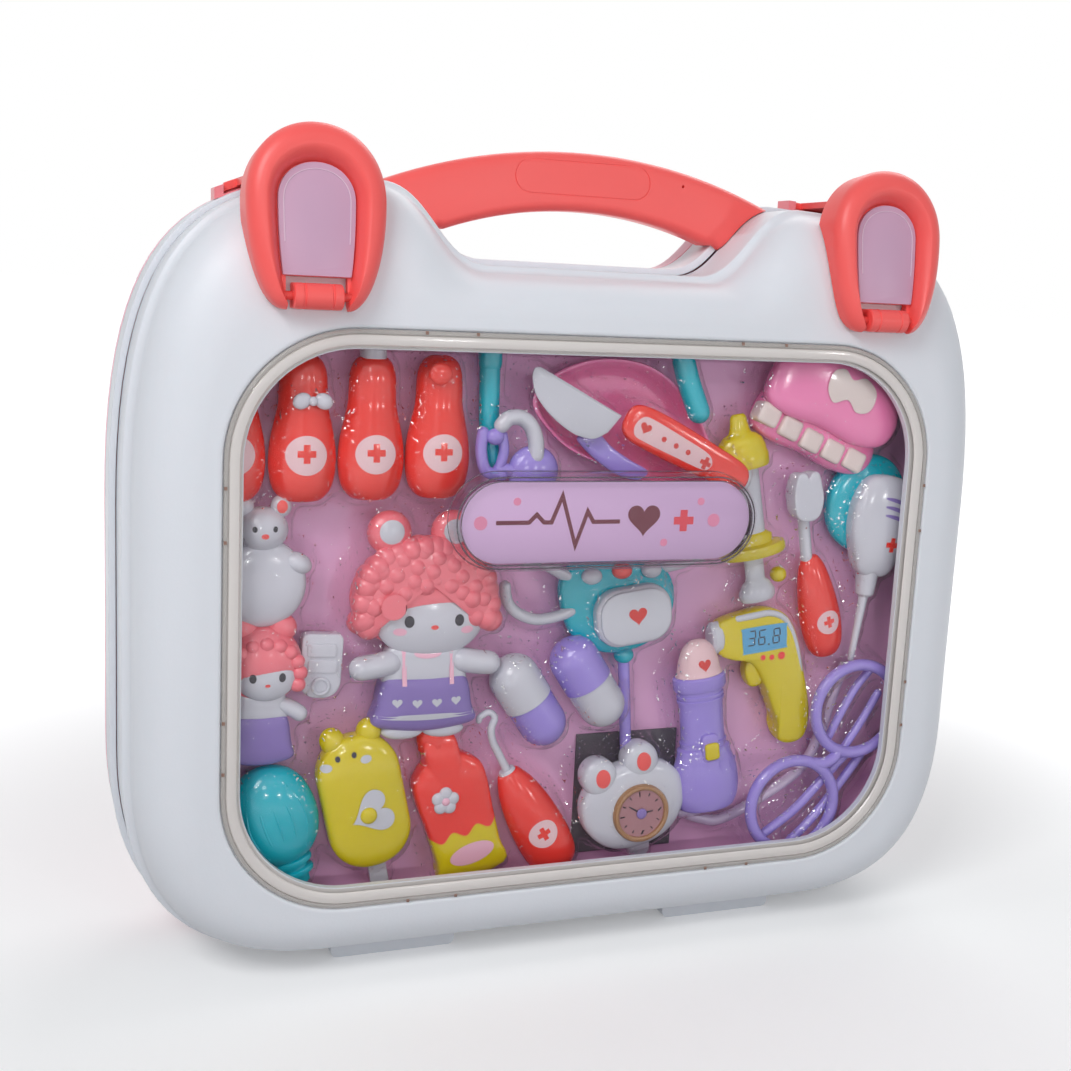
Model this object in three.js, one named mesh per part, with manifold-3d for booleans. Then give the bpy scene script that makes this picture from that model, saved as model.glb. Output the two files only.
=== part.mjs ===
// Toy doctor case: a carrying case of two moulded shells, hinged along the bottom, with a handle in
// a notch, two ear-shaped latches, a clear window and a tray of play instruments under a blister.
// Millimetres, +Z up, the window faces -Y and the case stands on its feet.
import * as THREE from 'three';
import { mergeVertices } from 'three/addons/utils/BufferGeometryUtils.js';
import Module from 'manifold-3d';

const wasm = await Module();
wasm.setup();

// Driving dimensions of the case. Heights are above the floor, depths are behind the front face.
const half_width = 180.3;
const shoulder_height = 303.3;
const notch_height = 275.4;
const flange_height = 3.6;
const seam_depth = 44;
const rear_depth = 88;
const wall = 2.5;
const gap = 0.3;
const overrun = 1;
const window_height = 139.6;
const window_side = 35.3;
const window_half_width = half_width - window_side;
const window_half_height = 109.1;
const latch_inset = 66;
const latch_spacing = half_width - latch_inset;
const foot_inset = 107.8;
const foot_spacing = half_width - foot_inset;
const ear_reach = 10.2;

// Finish of each moulding
const coral = { color: 0xf3655c, roughness: 0.42, metalness: 0 };
const white = { color: 0xf3f2f1, roughness: 0.45, metalness: 0 };
const pale_pink = { color: 0xf7c3d4, roughness: 0.45, metalness: 0 };
const mauve = { color: 0xc9a5bf, roughness: 0.5, metalness: 0 };
const clear = { color: 0xf4f6f8, roughness: 0.06, metalness: 0, transparent: true, opacity: 0.25 };
const card_pink = { color: 0xc98fb5, roughness: 0.6, metalness: 0 };
const red = { color: 0xdf4038, roughness: 0.3, metalness: 0 };
const teal = { color: 0x36a8bd, roughness: 0.3, metalness: 0 };
const lilac = { color: 0xa58fd6, roughness: 0.3, metalness: 0 };
const yellow = { color: 0xe0c81c, roughness: 0.3, metalness: 0 };
const rose = { color: 0xe07fae, roughness: 0.3, metalness: 0 };
const cream = { color: 0xe9e4e0, roughness: 0.3, metalness: 0 };
const grey = { color: 0x6f6d78, roughness: 0.8, metalness: 0 };
const steel = { color: 0xb9bcc0, roughness: 0.35, metalness: 1 };

const part = new THREE.Group();
part.position.set(0, -(rear_depth - ear_reach) / 2, 0);

// Closed mesh to solid, and solid to mesh
function solid_from(geometry) {
  const bare = geometry.clone();
  bare.deleteAttribute('normal');
  bare.deleteAttribute('uv');
  const merged = mergeVertices(bare);
  const corners = [];
  for (let i = 0; i < merged.index.count; i += 3) {
    const [a, b, c] = [0, 1, 2].map((k) => merged.index.getX(i + k));
    if (a !== b && b !== c && c !== a) corners.push(a, b, c);
  }
  return new wasm.Manifold(new wasm.Mesh({
    numProp: 3,
    vertProperties: new Float32Array(merged.attributes.position.array),
    triVerts: new Uint32Array(corners),
  }));
}

function geometry_from(solid) {
  const mesh = solid.getMesh();
  const geometry = new THREE.BufferGeometry();
  geometry.setAttribute('position', new THREE.BufferAttribute(mesh.vertProperties, 3));
  geometry.setIndex(new THREE.BufferAttribute(mesh.triVerts, 1));
  geometry.computeVertexNormals();
  return geometry;
}

function add_piece(name, solid, finish) {
  const mesh = new THREE.Mesh(geometry_from(solid), new THREE.MeshStandardMaterial(finish));
  mesh.name = name;
  part.add(mesh);
}

// Solid through a run of outlines, one at each depth, front first. An outline is a list of [x, z]
// that runs anticlockwise as seen from the front, and all outlines of a run have as many points.
function loft(sections) {
  const count = sections[0].outline.length;
  const positions = sections.flatMap((s) => s.outline.flatMap(([x, z]) => [x, s.depth, z]));
  const index = [];
  for (let i = 0; i + 1 < sections.length; i += 1) {
    for (let j = 0; j < count; j += 1) {
      const a = i * count + j;
      const b = i * count + ((j + 1) % count);
      index.push(a, a + count, b + count, a, b + count, b);
    }
  }
  const last = (sections.length - 1) * count;
  const cap = (s) => THREE.ShapeUtils.triangulateShape(s.outline.map(([x, z]) => new THREE.Vector2(x, z)), []);
  cap(sections[0]).forEach(([a, b, c]) => index.push(a, b, c));
  cap(sections[sections.length - 1]).forEach(([a, b, c]) => index.push(last + a, last + c, last + b));
  const geometry = new THREE.BufferGeometry();
  geometry.setAttribute('position', new THREE.Float32BufferAttribute(positions, 3));
  geometry.setIndex(index);
  return solid_from(geometry);
}

function slab(outline, front, back) {
  return loft([{ outline, depth: front }, { outline, depth: back }]);
}

// Box between two corners
function block([x0, y0, z0], [x1, y1, z1]) {
  return slab([[x0, z0], [x1, z0], [x1, z1], [x0, z1]], y0, y1);
}

// Round bar along X, centred at a depth and height
function bar(x0, x1, depth, height, radius, sides = 20) {
  const cylinder = new THREE.CylinderGeometry(radius, radius, x1 - x0, sides);
  cylinder.rotateZ(Math.PI / 2);
  return solid_from(cylinder).translate([(x0 + x1) / 2, depth, height]);
}

function bezier(from, to, first, second, steps) {
  const curve = new THREE.CubicBezierCurve(
    new THREE.Vector2(...from), new THREE.Vector2(...first),
    new THREE.Vector2(...second), new THREE.Vector2(...to));
  return curve.getPoints(steps).map((p) => [p.x, p.y]);
}

// Closed outline from its right half, which runs from the bottom centre to the top centre
function both_sides(right) {
  const left = right.filter(([x]) => x !== 0).map(([x, z]) => [-x, z]).reverse();
  return [...right, ...left];
}

// Rounded rectangle with its own radius at the bottom and at the top corners
function rounded_box(half, low, high, low_radius, high_radius, steps = 6) {
  const corner = (cx, cz, radius, start) => {
    const points = [];
    for (let i = 0; i <= steps; i += 1) {
      const angle = (start + (90 * i) / steps) * Math.PI / 180;
      points.push([cx + radius * Math.cos(angle), cz + radius * Math.sin(angle)]);
    }
    return points;
  };
  return [
    ...corner(half - low_radius, low + low_radius, low_radius, -90),
    ...corner(half - high_radius, high - high_radius, high_radius, 0),
    ...corner(-half + high_radius, high - high_radius, high_radius, 90),
    ...corner(-half + low_radius, low + low_radius, low_radius, 180),
  ];
}

function moved(outline, x, z) {
  return outline.map(([a, b]) => [a + x, b + z]);
}

// Outline of the case: broad round bottom corners, round shoulders and an S-shaped notch wall
const case_form = {
  bottom_corner_width: 76.3,
  bottom_corner_height: 81,
  peak: 85,
  shoulder_drop: 124,
  notch_floor: 40,
  low_handle_shares: [0.617, 0.734],
  high_handle_shares: [0.857, 0.66, 0.018],
  notch_handle_shares: [0.46, 0.54],
  peak_shift_share: 0.5,
};

function case_outline(inset) {
  const f = case_form;
  const side = half_width - inset.side;
  const low = flange_height + inset.bottom;
  const top = shoulder_height - inset.top;
  const floor = notch_height - inset.notch;
  const low_end = flange_height + f.bottom_corner_height;
  const high_start = shoulder_height - f.shoulder_drop;
  const peak = f.peak + f.peak_shift_share * inset.shift;
  const floor_end = f.notch_floor + inset.shift;
  const run = peak - floor_end;
  const corner_start = half_width - f.bottom_corner_width;
  const [low_up, low_in] = f.low_handle_shares;
  const [high_up, high_in, high_sink] = f.high_handle_shares;
  const [notch_low, notch_high] = f.notch_handle_shares;
  const right = [
    [0, low],
    ...bezier([corner_start, low], [side, low_end],
      [side - (side - corner_start) * (1 - low_in), low], [side, low_end - (low_end - low) * low_up], 7),
    ...bezier([side, high_start], [peak, top], [side, high_start + (top - high_start) * high_up],
      [peak + (side - peak) * high_in, top - (top - high_start) * high_sink], 8),
    ...bezier([peak, top], [floor_end, floor], [floor_end + run * notch_high, top],
      [floor_end + run * notch_low, floor], 7).slice(1),
    [0, floor],
  ];
  return both_sides(right);
}

// How far the front flange, the front bulge and the two faces draw in from the rear shell's outline
const flange_inset = { side: 2.8, bottom: 2.4, top: 2, notch: 2.6, shift: 3.5 };
const bulge_inset = { side: 5.9, bottom: 4.6, top: 4.6, notch: 5.4, shift: 5.5 };
const face_inset = { side: 22, bottom: 18, top: 34, notch: 15, shift: 13 };
const rear_inset = { side: 20, bottom: 16, top: 26, notch: 12, shift: 9 };
const fillet_depth = 20;
const fillet_steps = 5;
const flange_front = 22;
const edge_round = 1;

function inset_of(base, share, face, shrink) {
  const sum = (key) => base[key] + share * face[key] + shrink;
  return {
    side: sum('side'),
    bottom: sum('bottom'),
    top: sum('top'),
    notch: sum('notch'),
    shift: sum('shift'),
  };
}

const no_inset = { side: 0, bottom: 0, top: 0, notch: 0, shift: 0 };

// Outer form of the front shell, shrunk on all sides for its cavity or grown for a clearance
function front_form(shrink, back) {
  const sections = [];
  for (let i = 0; i <= fillet_steps; i += 1) {
    const turn = (Math.PI / 2) * (i / fillet_steps);
    const outline = case_outline(inset_of(bulge_inset, 1 - Math.sin(turn), face_inset, shrink));
    sections.push({ outline, depth: fillet_depth * (1 - Math.cos(turn)) + shrink });
  }
  const flange = (inset, depth) => sections.push({
    outline: case_outline(inset_of(flange_inset, 0, face_inset, shrink + inset)), depth });
  flange(edge_round, flange_front + shrink);
  flange(0, flange_front + edge_round + shrink);
  flange(0, back);
  return loft(sections);
}

function rear_form(shrink, front) {
  const outline_at = (share, inset) => case_outline(inset_of(no_inset, share, rear_inset, shrink + inset));
  const rim = (inset, depth) => ({ outline: outline_at(0, inset), depth });
  const sections = [rim(edge_round / 2, front), rim(0, front + edge_round / 2)];
  for (let i = 0; i <= fillet_steps; i += 1) {
    const turn = (Math.PI / 2) * (i / fillet_steps);
    const outline = outline_at(1 - Math.cos(turn), 0);
    sections.push({ outline, depth: rear_depth - fillet_depth * (1 - Math.sin(turn)) - shrink });
  }
  return loft(sections);
}

// Hinge along the bottom seam: each foot is a hinge leaf with knuckles round a steel pin
const hinge = {
  height: 3.5,
  knuckle_radius: 3.3,
  pin_radius: 1.2,
  knuckles: 5,
  relief: 0.5,
};
const foot = {
  width: 51,
  front: 22,
  rear: 76,
  front_height: 6.5,
  rear_height: 12,
  corner: 2.5,
  heel_gap: 0.9,
};

function foot_solid(side, is_front) {
  const centre = side * foot_spacing;
  const low = centre - foot.width / 2;
  const high = centre + foot.width / 2;
  const reach = hinge.knuckle_radius + foot.heel_gap;
  const [front, back] = is_front ? [foot.front, seam_depth - reach] : [seam_depth + reach, foot.rear];
  const top = is_front ? foot.front_height : foot.rear_height;
  const face = rounded_box(foot.width / 2, 0, top + foot.corner, foot.corner, foot.corner, 3);
  const front_view = moved(face, centre, 0);
  const plan = slab(front_view, front, back).intersect(block([low, front, 0], [high, back, top]));
  const form = is_front ? front_form(-gap, seam_depth) : rear_form(-gap, seam_depth);
  let body = plan.subtract(form);
  const pitch = foot.width / hinge.knuckles;
  for (let i = 0; i < hinge.knuckles; i += 1) {
    if ((i % 2 === 0) !== is_front) continue;
    const x0 = low + pitch * i + (i === 0 ? 0 : gap / 2);
    const x1 = low + pitch * (i + 1) - (i + 1 === hinge.knuckles ? 0 : gap / 2);
    const leaf_front = is_front ? back - overrun : seam_depth;
    const leaf_back = is_front ? seam_depth : front + overrun;
    body = body.add(bar(x0, x1, seam_depth, hinge.height, hinge.knuckle_radius));
    body = body.add(block([x0, leaf_front, hinge.height - hinge.knuckle_radius],
      [x1, leaf_back, hinge.height - gap]));
  }
  const bore = bar(low - overrun, high + overrun, seam_depth, hinge.height, hinge.pin_radius + gap, 12);
  return body.subtract(bore);
}

function hinge_relief() {
  let cut = null;
  for (const side of [-1, 1]) {
    const reach = foot.width / 2 + hinge.relief;
    const one = bar(side * foot_spacing - reach, side * foot_spacing + reach, seam_depth, hinge.height,
      hinge.knuckle_radius + hinge.relief);
    cut = cut ? cut.add(one) : one;
  }
  return cut;
}

// Window opening with its ledge, and the slots that the window's snap tabs go through
const window_form = {
  corner: 48,
  ledge_width: 7.6,
  ledge_depth: 2.8,
  bead_width: 5.3,
  bead_height: 0.8,
  pane_back: 2.5,
  edge_gap: 0.4,
  tab_length: 20,
  tab_thickness: 2,
  tab_reach: 4.2,
  tab_inset: 4.2,
  tab_place_shares: [0.44, 0.39],
};

function window_outline(inset, steps = 7) {
  const radius = window_form.corner - inset;
  const outline = rounded_box(window_half_width - inset, -window_half_height + inset,
    window_half_height - inset, radius, radius, steps);
  return moved(outline, 0, window_height);
}

// Snap tabs, two on each side of the window, grown by a clearance for their slots
function window_tabs(front, back, grow) {
  const f = window_form;
  const [x_share, z_share] = f.tab_place_shares;
  const long = f.tab_length / 2 + grow;
  const thick = f.tab_thickness / 2 + grow;
  const tabs = [];
  for (const a of [-1, 1]) {
    for (const b of [-1, 1]) {
      const x = a * x_share * window_half_width;
      const z = window_height + b * (window_half_height - f.tab_inset);
      tabs.push(block([x - long, front, z - thick], [x + long, back, z + thick]));
      const side = a * (window_half_width - f.tab_inset);
      const level = window_height + b * z_share * window_half_height;
      tabs.push(block([side - thick, front, level - long], [side + thick, back, level + long]));
    }
  }
  return tabs.reduce((sum, tab) => sum.add(tab));
}

// Raised pill on the window, open at the back, that holds a coloured plate
const pill = {
  height: 39.5,
  half_length: 62.8,
  half_height: 18.5,
  proud: 7,
  wall: 1.6,
  edge: 2,
  plate: 1,
};

function pill_outline(inset) {
  const half = pill.half_height - inset;
  const outline = rounded_box(pill.half_length - inset, -half, half, half, half, 7);
  return moved(outline, 0, window_height + pill.height);
}

function window_panel() {
  const f = window_form;
  const rim = (inset, depth) => ({ outline: window_outline(inset), depth });
  const front = gap;
  let panel = loft([
    rim(f.edge_gap + f.bead_height * 2, front),
    rim(f.edge_gap + f.bead_height / 2, front + f.bead_height / 2),
    rim(f.edge_gap, front + f.bead_height * 1.5),
    rim(f.edge_gap, f.pane_back),
  ]);
  panel = panel.subtract(slab(window_outline(f.bead_width), -overrun, front + f.bead_height));
  const boss = (inset, depth) => ({ outline: pill_outline(inset), depth });
  panel = panel.add(loft([
    boss(pill.edge, -pill.proud),
    boss(pill.edge / 3, -pill.proud + pill.edge / 3),
    boss(0, -pill.proud + pill.edge),
    boss(-pill.edge / 4, f.pane_back),
  ]));
  panel = panel.subtract(loft([
    boss(pill.wall + pill.edge / 3, -pill.proud + pill.wall),
    boss(pill.wall, -pill.proud + pill.wall + pill.edge / 3),
    boss(pill.wall - pill.edge / 4, f.pane_back + overrun),
  ]));
  return panel.add(window_tabs(f.pane_back - overrun / 2, f.pane_back + f.tab_reach, 0));
}

function pill_plate() {
  const front = -pill.proud + pill.wall + gap;
  return slab(pill_outline(pill.wall + pill.edge / 2 + gap), front, front + pill.plate);
}

// Front shell: bulged face with a round fillet, a flange at the seam and the window's ledge
function front_shell() {
  const f = window_form;
  let shell = front_form(0, seam_depth - gap / 2).subtract(front_form(wall, seam_depth + overrun));
  shell = shell.add(slab(window_outline(-wall), 0, f.ledge_depth + wall));
  shell = shell.subtract(slab(window_outline(0), -overrun, f.ledge_depth));
  shell = shell.subtract(slab(window_outline(f.ledge_width), -overrun, f.ledge_depth + wall + overrun));
  shell = shell.subtract(window_tabs(f.ledge_depth - overrun, f.ledge_depth + wall + overrun, gap));
  for (const side of [-1, 1]) shell = shell.subtract(bracket_stem(side, gap));
  return shell.subtract(hinge_relief());
}

// Handle: an arch that closes the notch, held by a tenon in each shoulder of the rear shell
const handle = {
  crown: 318.6,
  crown_radius: 215,
  underside: 295.8,
  underside_radius: 163,
  underside_half: 56,
  tip: 62,
  tip_height: 284.2,
  reach: 84,
  root_drop: 12,
  front: 40,
  back: 54,
  edge: 4,
  tenon_start: 58,
  tenon_end: 82,
  tenon_low: 290,
  tenon_high: 298,
  tenon_front: 46.5,
  tenon_back: 52,
  recess_half: 28.9,
  recess_height: 13.4,
  recess_rise: 1,
  recess_depth: 0.8,
};

function arc_height(x, crown, radius) {
  return crown - radius + Math.sqrt(radius * radius - x * x);
}

function handle_outline(inset) {
  const h = handle;
  const right = [];
  for (let i = 0; i <= 6; i += 1) {
    const x = (h.underside_half * i) / 6;
    right.push([x, arc_height(x, h.underside, h.underside_radius) + inset]);
  }
  right.push([h.tip, h.tip_height + inset]);
  right.push([h.reach, arc_height(h.reach, h.crown, h.crown_radius) - h.root_drop]);
  for (let i = 0; i <= 8; i += 1) {
    const x = h.reach * (1 - i / 8);
    right.push([x, arc_height(x, h.crown, h.crown_radius) - inset]);
  }
  return both_sides(right);
}

function tenon(side, grow) {
  const h = handle;
  const [x0, x1] = [h.tenon_start - grow, h.tenon_end + grow];
  return block([side > 0 ? x0 : -x1, h.tenon_front - grow, h.tenon_low - grow],
    [side > 0 ? x1 : -x0, h.tenon_back + grow, h.tenon_high + grow]);
}

function handle_solid() {
  const h = handle;
  const rounded = (share) => h.edge * (1 - Math.sin((Math.PI / 2) * share));
  const depth_of = (share) => h.edge * (1 - Math.cos((Math.PI / 2) * share));
  const shares = [0, 1 / 3, 2 / 3, 1];
  let body = loft([
    ...shares.map((s) => ({ outline: handle_outline(rounded(s)), depth: h.front + depth_of(s) })),
    ...shares.map((s) => ({ outline: handle_outline(rounded(1 - s)), depth: h.back - depth_of(1 - s) })),
  ]);
  body = body.subtract(front_form(-gap, seam_depth)).subtract(rear_form(-gap, seam_depth));
  const pieces = body.decompose().sort((a, b) => b.volume() - a.volume());
  body = pieces[0];
  for (const side of [-1, 1]) body = body.add(tenon(side, 0));
  const middle = (h.crown + h.underside) / 2 + h.recess_rise;
  const recess = moved(rounded_box(h.recess_half, -h.recess_height / 2, h.recess_height / 2,
    h.recess_height / 2, h.recess_height / 2, 4), 0, middle);
  return body.subtract(slab(recess, h.front - overrun, h.front + h.recess_depth));
}

// Rear shell: an open ring with the case's outline, a little proud of the front shell's flange, and a
// back cover that closes it, held by a lip inside the ring
const back_joint = {
  depth: 62,
  lip: 1.5,
  lip_reach: 6,
  ledge: 2,
};

function rear_shell() {
  const reach = half_width + overrun;
  let shell = rear_form(0, seam_depth + gap / 2).subtract(rear_form(wall, seam_depth - overrun));
  shell = shell.intersect(block([-reach, seam_depth - overrun, -overrun],
    [reach, back_joint.depth - gap / 2, shoulder_height + overrun]));
  for (const side of [-1, 1]) shell = shell.subtract(tenon(side, gap));
  return shell.subtract(hinge_relief());
}

function back_cover() {
  const b = back_joint;
  const reach = half_width + overrun;
  const cover = rear_form(0, b.depth + gap / 2).subtract(rear_form(wall, b.depth + b.ledge));
  const lip = rear_form(wall + gap, b.depth - b.lip_reach).intersect(
    block([-reach, b.depth - b.lip_reach, -overrun], [reach, b.depth + b.ledge, shoulder_height + overrun]));
  return cover.add(lip).subtract(rear_form(wall + gap + b.lip, b.depth - b.lip_reach - overrun));
}

// Ear latch: an ear-shaped lever on a pin at its foot, with an arm over the shoulder to its catch
const ear = {
  axis_depth: -5.7,
  axis_height: 258.9,
  half_width: 24.4,
  widest: 32.7,
  height: 59.1,
  foot_radius: 4.8,
  foot_half: 10.5,
  tilt: -7,
  round: 6,
  ridge: 6.6,
  bowl_inset: 10.6,
  bowl_depth: 6.2,
  bowl_foot_share: 0.25,
  inlay: 1.2,
  back_reach: 12.5,
  slot_half: 10.7,
  slot_top: 6.6,
  barrel_half: 8.6,
  barrel_radius: 4.5,
  pin_radius: 1.5,
  pin_half: 14,
  low_handle_shares: [0.61, 0.48],
  high_handle_shares: [0.606, 0.553],
};

// The bowl keeps the ear's full height at its foot, so that it runs out into the hinge's slot
function ear_outline(inset, is_bowl = false) {
  const e = ear;
  const half = e.half_width - inset;
  const low = -e.foot_radius + (is_bowl ? 0 : inset);
  const top = e.height - inset * (is_bowl ? 1 + e.bowl_foot_share : 1);
  const flat = e.foot_half - inset * e.bowl_foot_share * (is_bowl ? 1 : 2);
  const [low_in, low_up] = e.low_handle_shares;
  const [high_up, high_in] = e.high_handle_shares;
  const right = [
    [0, low],
    ...bezier([flat, low], [half, e.widest], [flat + (half - flat) * low_in, low],
      [half, e.widest - (e.widest - low) * low_up], 7),
    ...bezier([half, e.widest], [0, top], [half, e.widest + (top - e.widest) * high_up],
      [half * high_in, top], 7).slice(1),
  ];
  return both_sides(right);
}

// Arm and catch follow the shoulder, so both are cut from the case's outline grown outwards
const arm = {
  inner: 104,
  outer: 134,
  clearance: 1.6,
  thickness: 2.4,
  front: 2,
  back: 52.4,
  lip: 3.4,
  lip_clearance: 1.3,
  lip_inner: 100.6,
  lip_outer: 138.6,
};
const catch_form = {
  inner: 96.8,
  outer: 142.4,
  front: 47,
  back: 56.4,
  post: 3.4,
  height: 4.4,
  bar_height: 0.7,
  back_wall: 3,
};

function shoulder_band(low, high, inner, outer, front, back) {
  const grown = (by) => case_outline(inset_of(no_inset, 0, face_inset, -by));
  const band = slab(grown(high), front, back).subtract(slab(grown(low), front - overrun, back + overrun));
  const top = shoulder_height + 2 * catch_form.height;
  return band.intersect(block([inner, front, window_height], [outer, back, top]));
}

function ear_lever() {
  const e = ear;
  const section = (inset, depth) => ({ outline: ear_outline(inset), depth });
  const face = -e.foot_radius;
  const turn = (share) => (Math.PI / 2) * share;
  const rounding = [0, 1 / 3, 2 / 3, 1].map((s) => section(e.round * (1 - Math.sin(turn(s))),
    face + e.round * (1 - Math.cos(turn(s)))));
  let body = loft([...rounding, section(0, e.back_reach)]);
  const bowl_depth_shares = [-0.1, 0, 0.16, 0.5, 1];
  const bowl_inset_shares = [-0.25, 0, 0.35, 0.75, 1];
  body = body.subtract(loft(bowl_depth_shares.map((s, i) => ({
    outline: ear_outline(e.ridge + (e.bowl_inset - e.ridge) * bowl_inset_shares[i], true),
    depth: face + e.bowl_depth * s,
  }))));
  body = body.rotate([e.tilt, 0, 0]).translate([latch_spacing, e.axis_depth, e.axis_height]);
  const below = 2 * e.foot_radius;
  const front_low = (half) => [latch_spacing - half, e.axis_depth - below, e.axis_height - below];
  const round_foot = bar(latch_spacing - e.half_width, latch_spacing + e.half_width, e.axis_depth,
    e.axis_height, e.foot_radius, 28);
  const foot_room = block(front_low(e.half_width),
    [latch_spacing + e.half_width, e.back_reach, e.axis_height]);
  body = body.subtract(foot_room.subtract(round_foot));
  body = body.subtract(front_form(-gap - gap / 2, seam_depth));
  const top = arm.clearance + arm.thickness;
  body = body.add(shoulder_band(arm.clearance, top, arm.inner, arm.outer, arm.front, arm.back));
  body = body.add(shoulder_band(arm.lip_clearance, top, arm.lip_inner, arm.lip_outer,
    arm.back - arm.lip, arm.back));
  body = body.subtract(block(front_low(e.slot_half),
    [latch_spacing + e.slot_half, e.back_reach, e.axis_height + e.slot_top]));
  body = body.subtract(bar(latch_spacing - e.pin_half - gap, latch_spacing + e.pin_half + gap, e.axis_depth,
    e.axis_height, e.pin_radius + gap, 14));
  return body;
}

function ear_inlay() {
  const e = ear;
  const front = -e.foot_radius + e.bowl_depth - e.inlay;
  const outline = ear_outline(e.bowl_inset + gap, true);
  const foot_cut = block([-e.half_width, front - overrun, -2 * e.foot_radius],
    [e.half_width, front + e.inlay + overrun, e.slot_top + gap]);
  const plate = slab(outline, front - gap, front + e.inlay - gap).subtract(foot_cut);
  return plate.rotate([e.tilt, 0, 0]).translate([latch_spacing, e.axis_depth, e.axis_height]);
}

function bracket_stem(side, grow) {
  const e = ear;
  const centre = side * latch_spacing;
  return block([centre - e.barrel_half / 2 - grow, -overrun, e.axis_height - e.barrel_radius / 2 - grow],
    [centre + e.barrel_half / 2 + grow, wall + overrun, e.axis_height + e.barrel_radius / 2 + grow]);
}

function ear_bracket(side) {
  const e = ear;
  const centre = side * latch_spacing;
  let body = bar(centre - e.barrel_half, centre + e.barrel_half, e.axis_depth, e.axis_height, e.barrel_radius);
  body = body.add(block([centre - e.barrel_half, e.axis_depth, e.axis_height - e.barrel_radius],
    [centre + e.barrel_half, -gap, e.axis_height + e.barrel_radius]));
  body = body.add(bracket_stem(side, 0));
  return body.subtract(bar(centre - e.slot_half, centre + e.slot_half, e.axis_depth, e.axis_height,
    e.pin_radius + gap, 14));
}

function ear_catch() {
  const c = catch_form;
  const rail = shoulder_band(gap, gap + c.bar_height, c.inner, c.outer, c.front, c.back);
  const posts = [[c.inner, c.inner + c.post], [c.outer - c.post, c.outer]];
  let body = rail;
  for (const [x0, x1] of posts) body = body.add(shoulder_band(gap, c.height, x0, x1, c.front, c.back));
  return body.add(shoulder_band(gap, c.height, c.inner, c.outer, c.back - c.back_wall, c.back));
}

// Inner tray: a pink floor behind the instruments, with a wall that reaches to the rear shell
const tray = {
  rim_depth: 13,
  straight_depth: 66,
  floor_depth: 28,
  thickness: 1.2,
  beyond_window: 15,
  below_window: 8.9,
  under_window_top: 2.1,
  top_draw_share: 0.4,
  low_corner: 74,
  high_corner: 30,
  taper: 12,
};

function tray_outline(inset) {
  const t = tray;
  const half = window_half_width + t.beyond_window - inset;
  const low = -window_half_height - t.below_window + inset;
  const high = window_half_height - t.under_window_top - inset * t.top_draw_share;
  return moved(rounded_box(half, low, high, t.low_corner - inset / 2, t.high_corner - inset / 2, 7), 0,
    window_height);
}

function inner_tray() {
  const t = tray;
  const back = rear_depth - wall - gap;
  const form = (inset, front, rear) => loft([
    { outline: tray_outline(inset), depth: front },
    { outline: tray_outline(inset), depth: t.straight_depth },
    { outline: tray_outline(inset + t.taper), depth: rear },
  ]);
  const hollow = form(t.thickness, t.rim_depth - overrun, back + overrun);
  const wall_ring = form(0, t.rim_depth, back).subtract(hollow);
  return wall_ring.add(slab(tray_outline(t.thickness / 2), t.floor_depth, t.floor_depth + t.thickness));
}

// Blister: a clear vacuum-formed cover over the instruments, open at the tray's floor
const blister = {
  front: 7.2,
  wall: 0.6,
  edge: 1.6,
  draft: 1.8,
};

function blister_cover() {
  const b = blister;
  const back = tray.floor_depth - gap;
  const rim = tray.thickness + gap;
  const form = (shrink, rear) => loft([
    { outline: tray_outline(rim + b.draft + b.edge + shrink), depth: b.front + shrink },
    { outline: tray_outline(rim + b.draft + shrink), depth: b.front + b.edge + shrink },
    { outline: tray_outline(rim + shrink), depth: rear },
  ]);
  return form(0, back).subtract(form(b.wall, back + overrun));
}

// Instruments. Places are shares of the window's half width and half height from its centre.
const toy_back = tray.floor_depth - gap;
const toy_middle = 17.6;

function toy_place([x_share, z_share]) {
  return [x_share * window_half_width, window_height + z_share * window_half_height];
}

// A solid scaled about its own middle so that each face moves out by a clearance
function grown(solid, by) {
  const { min, max } = solid.boundingBox();
  const middle = min.map((low, i) => (low + max[i]) / 2);
  const scale = min.map((low, i) => 1 + (2 * by) / (max[i] - low));
  return solid.translate(middle.map((m) => -m)).scale(scale).translate(middle);
}

// A toy made hollow where its neighbours rest against it
function rest_against(solid, ...neighbours) {
  const carved = neighbours.reduce((left, other) => left.subtract(grown(other, gap)), solid);
  return carved.decompose().sort((a, b) => b.volume() - a.volume())[0];
}

// A shape made upright about its own centre, then leaned to the right and set at its place
function set_toy(solid, place_shares, lean, depth = toy_middle) {
  const [x, z] = toy_place(place_shares);
  return solid.rotate([0, lean, 0]).translate([x, depth, z]);
}

// Turned form: profile shares are [radius, height] of the given radius and length, base first
function turned(profile_shares, radius, length, flatness = 1, sides = 14) {
  const points = profile_shares.map(([r, h]) => new THREE.Vector2(r * radius, h * length));
  const lathe = new THREE.LatheGeometry(points, sides);
  lathe.rotateX(Math.PI / 2);
  return solid_from(lathe).scale([1, flatness, 1]);
}

// Flat form with rounded edges from an outline in shares of a width and a height
function padded_form(outline_shares, width, height, depth, edge) {
  const outline = outline_shares.map(([x, z]) => [x * width, z * height]);
  const drawn_in = (by) => outline.map(([x, z]) => [x * (1 - by / (width / 2)), z * (1 - by / (height / 2))]);
  return loft([
    { outline: drawn_in(edge), depth: -depth / 2 },
    { outline: drawn_in(edge * 0.3), depth: -depth / 2 + edge * 0.3 },
    { outline, depth: -depth / 2 + edge },
    { outline, depth: depth / 2 - edge },
    { outline: drawn_in(edge * 0.5), depth: depth / 2 },
  ]);
}

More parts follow.
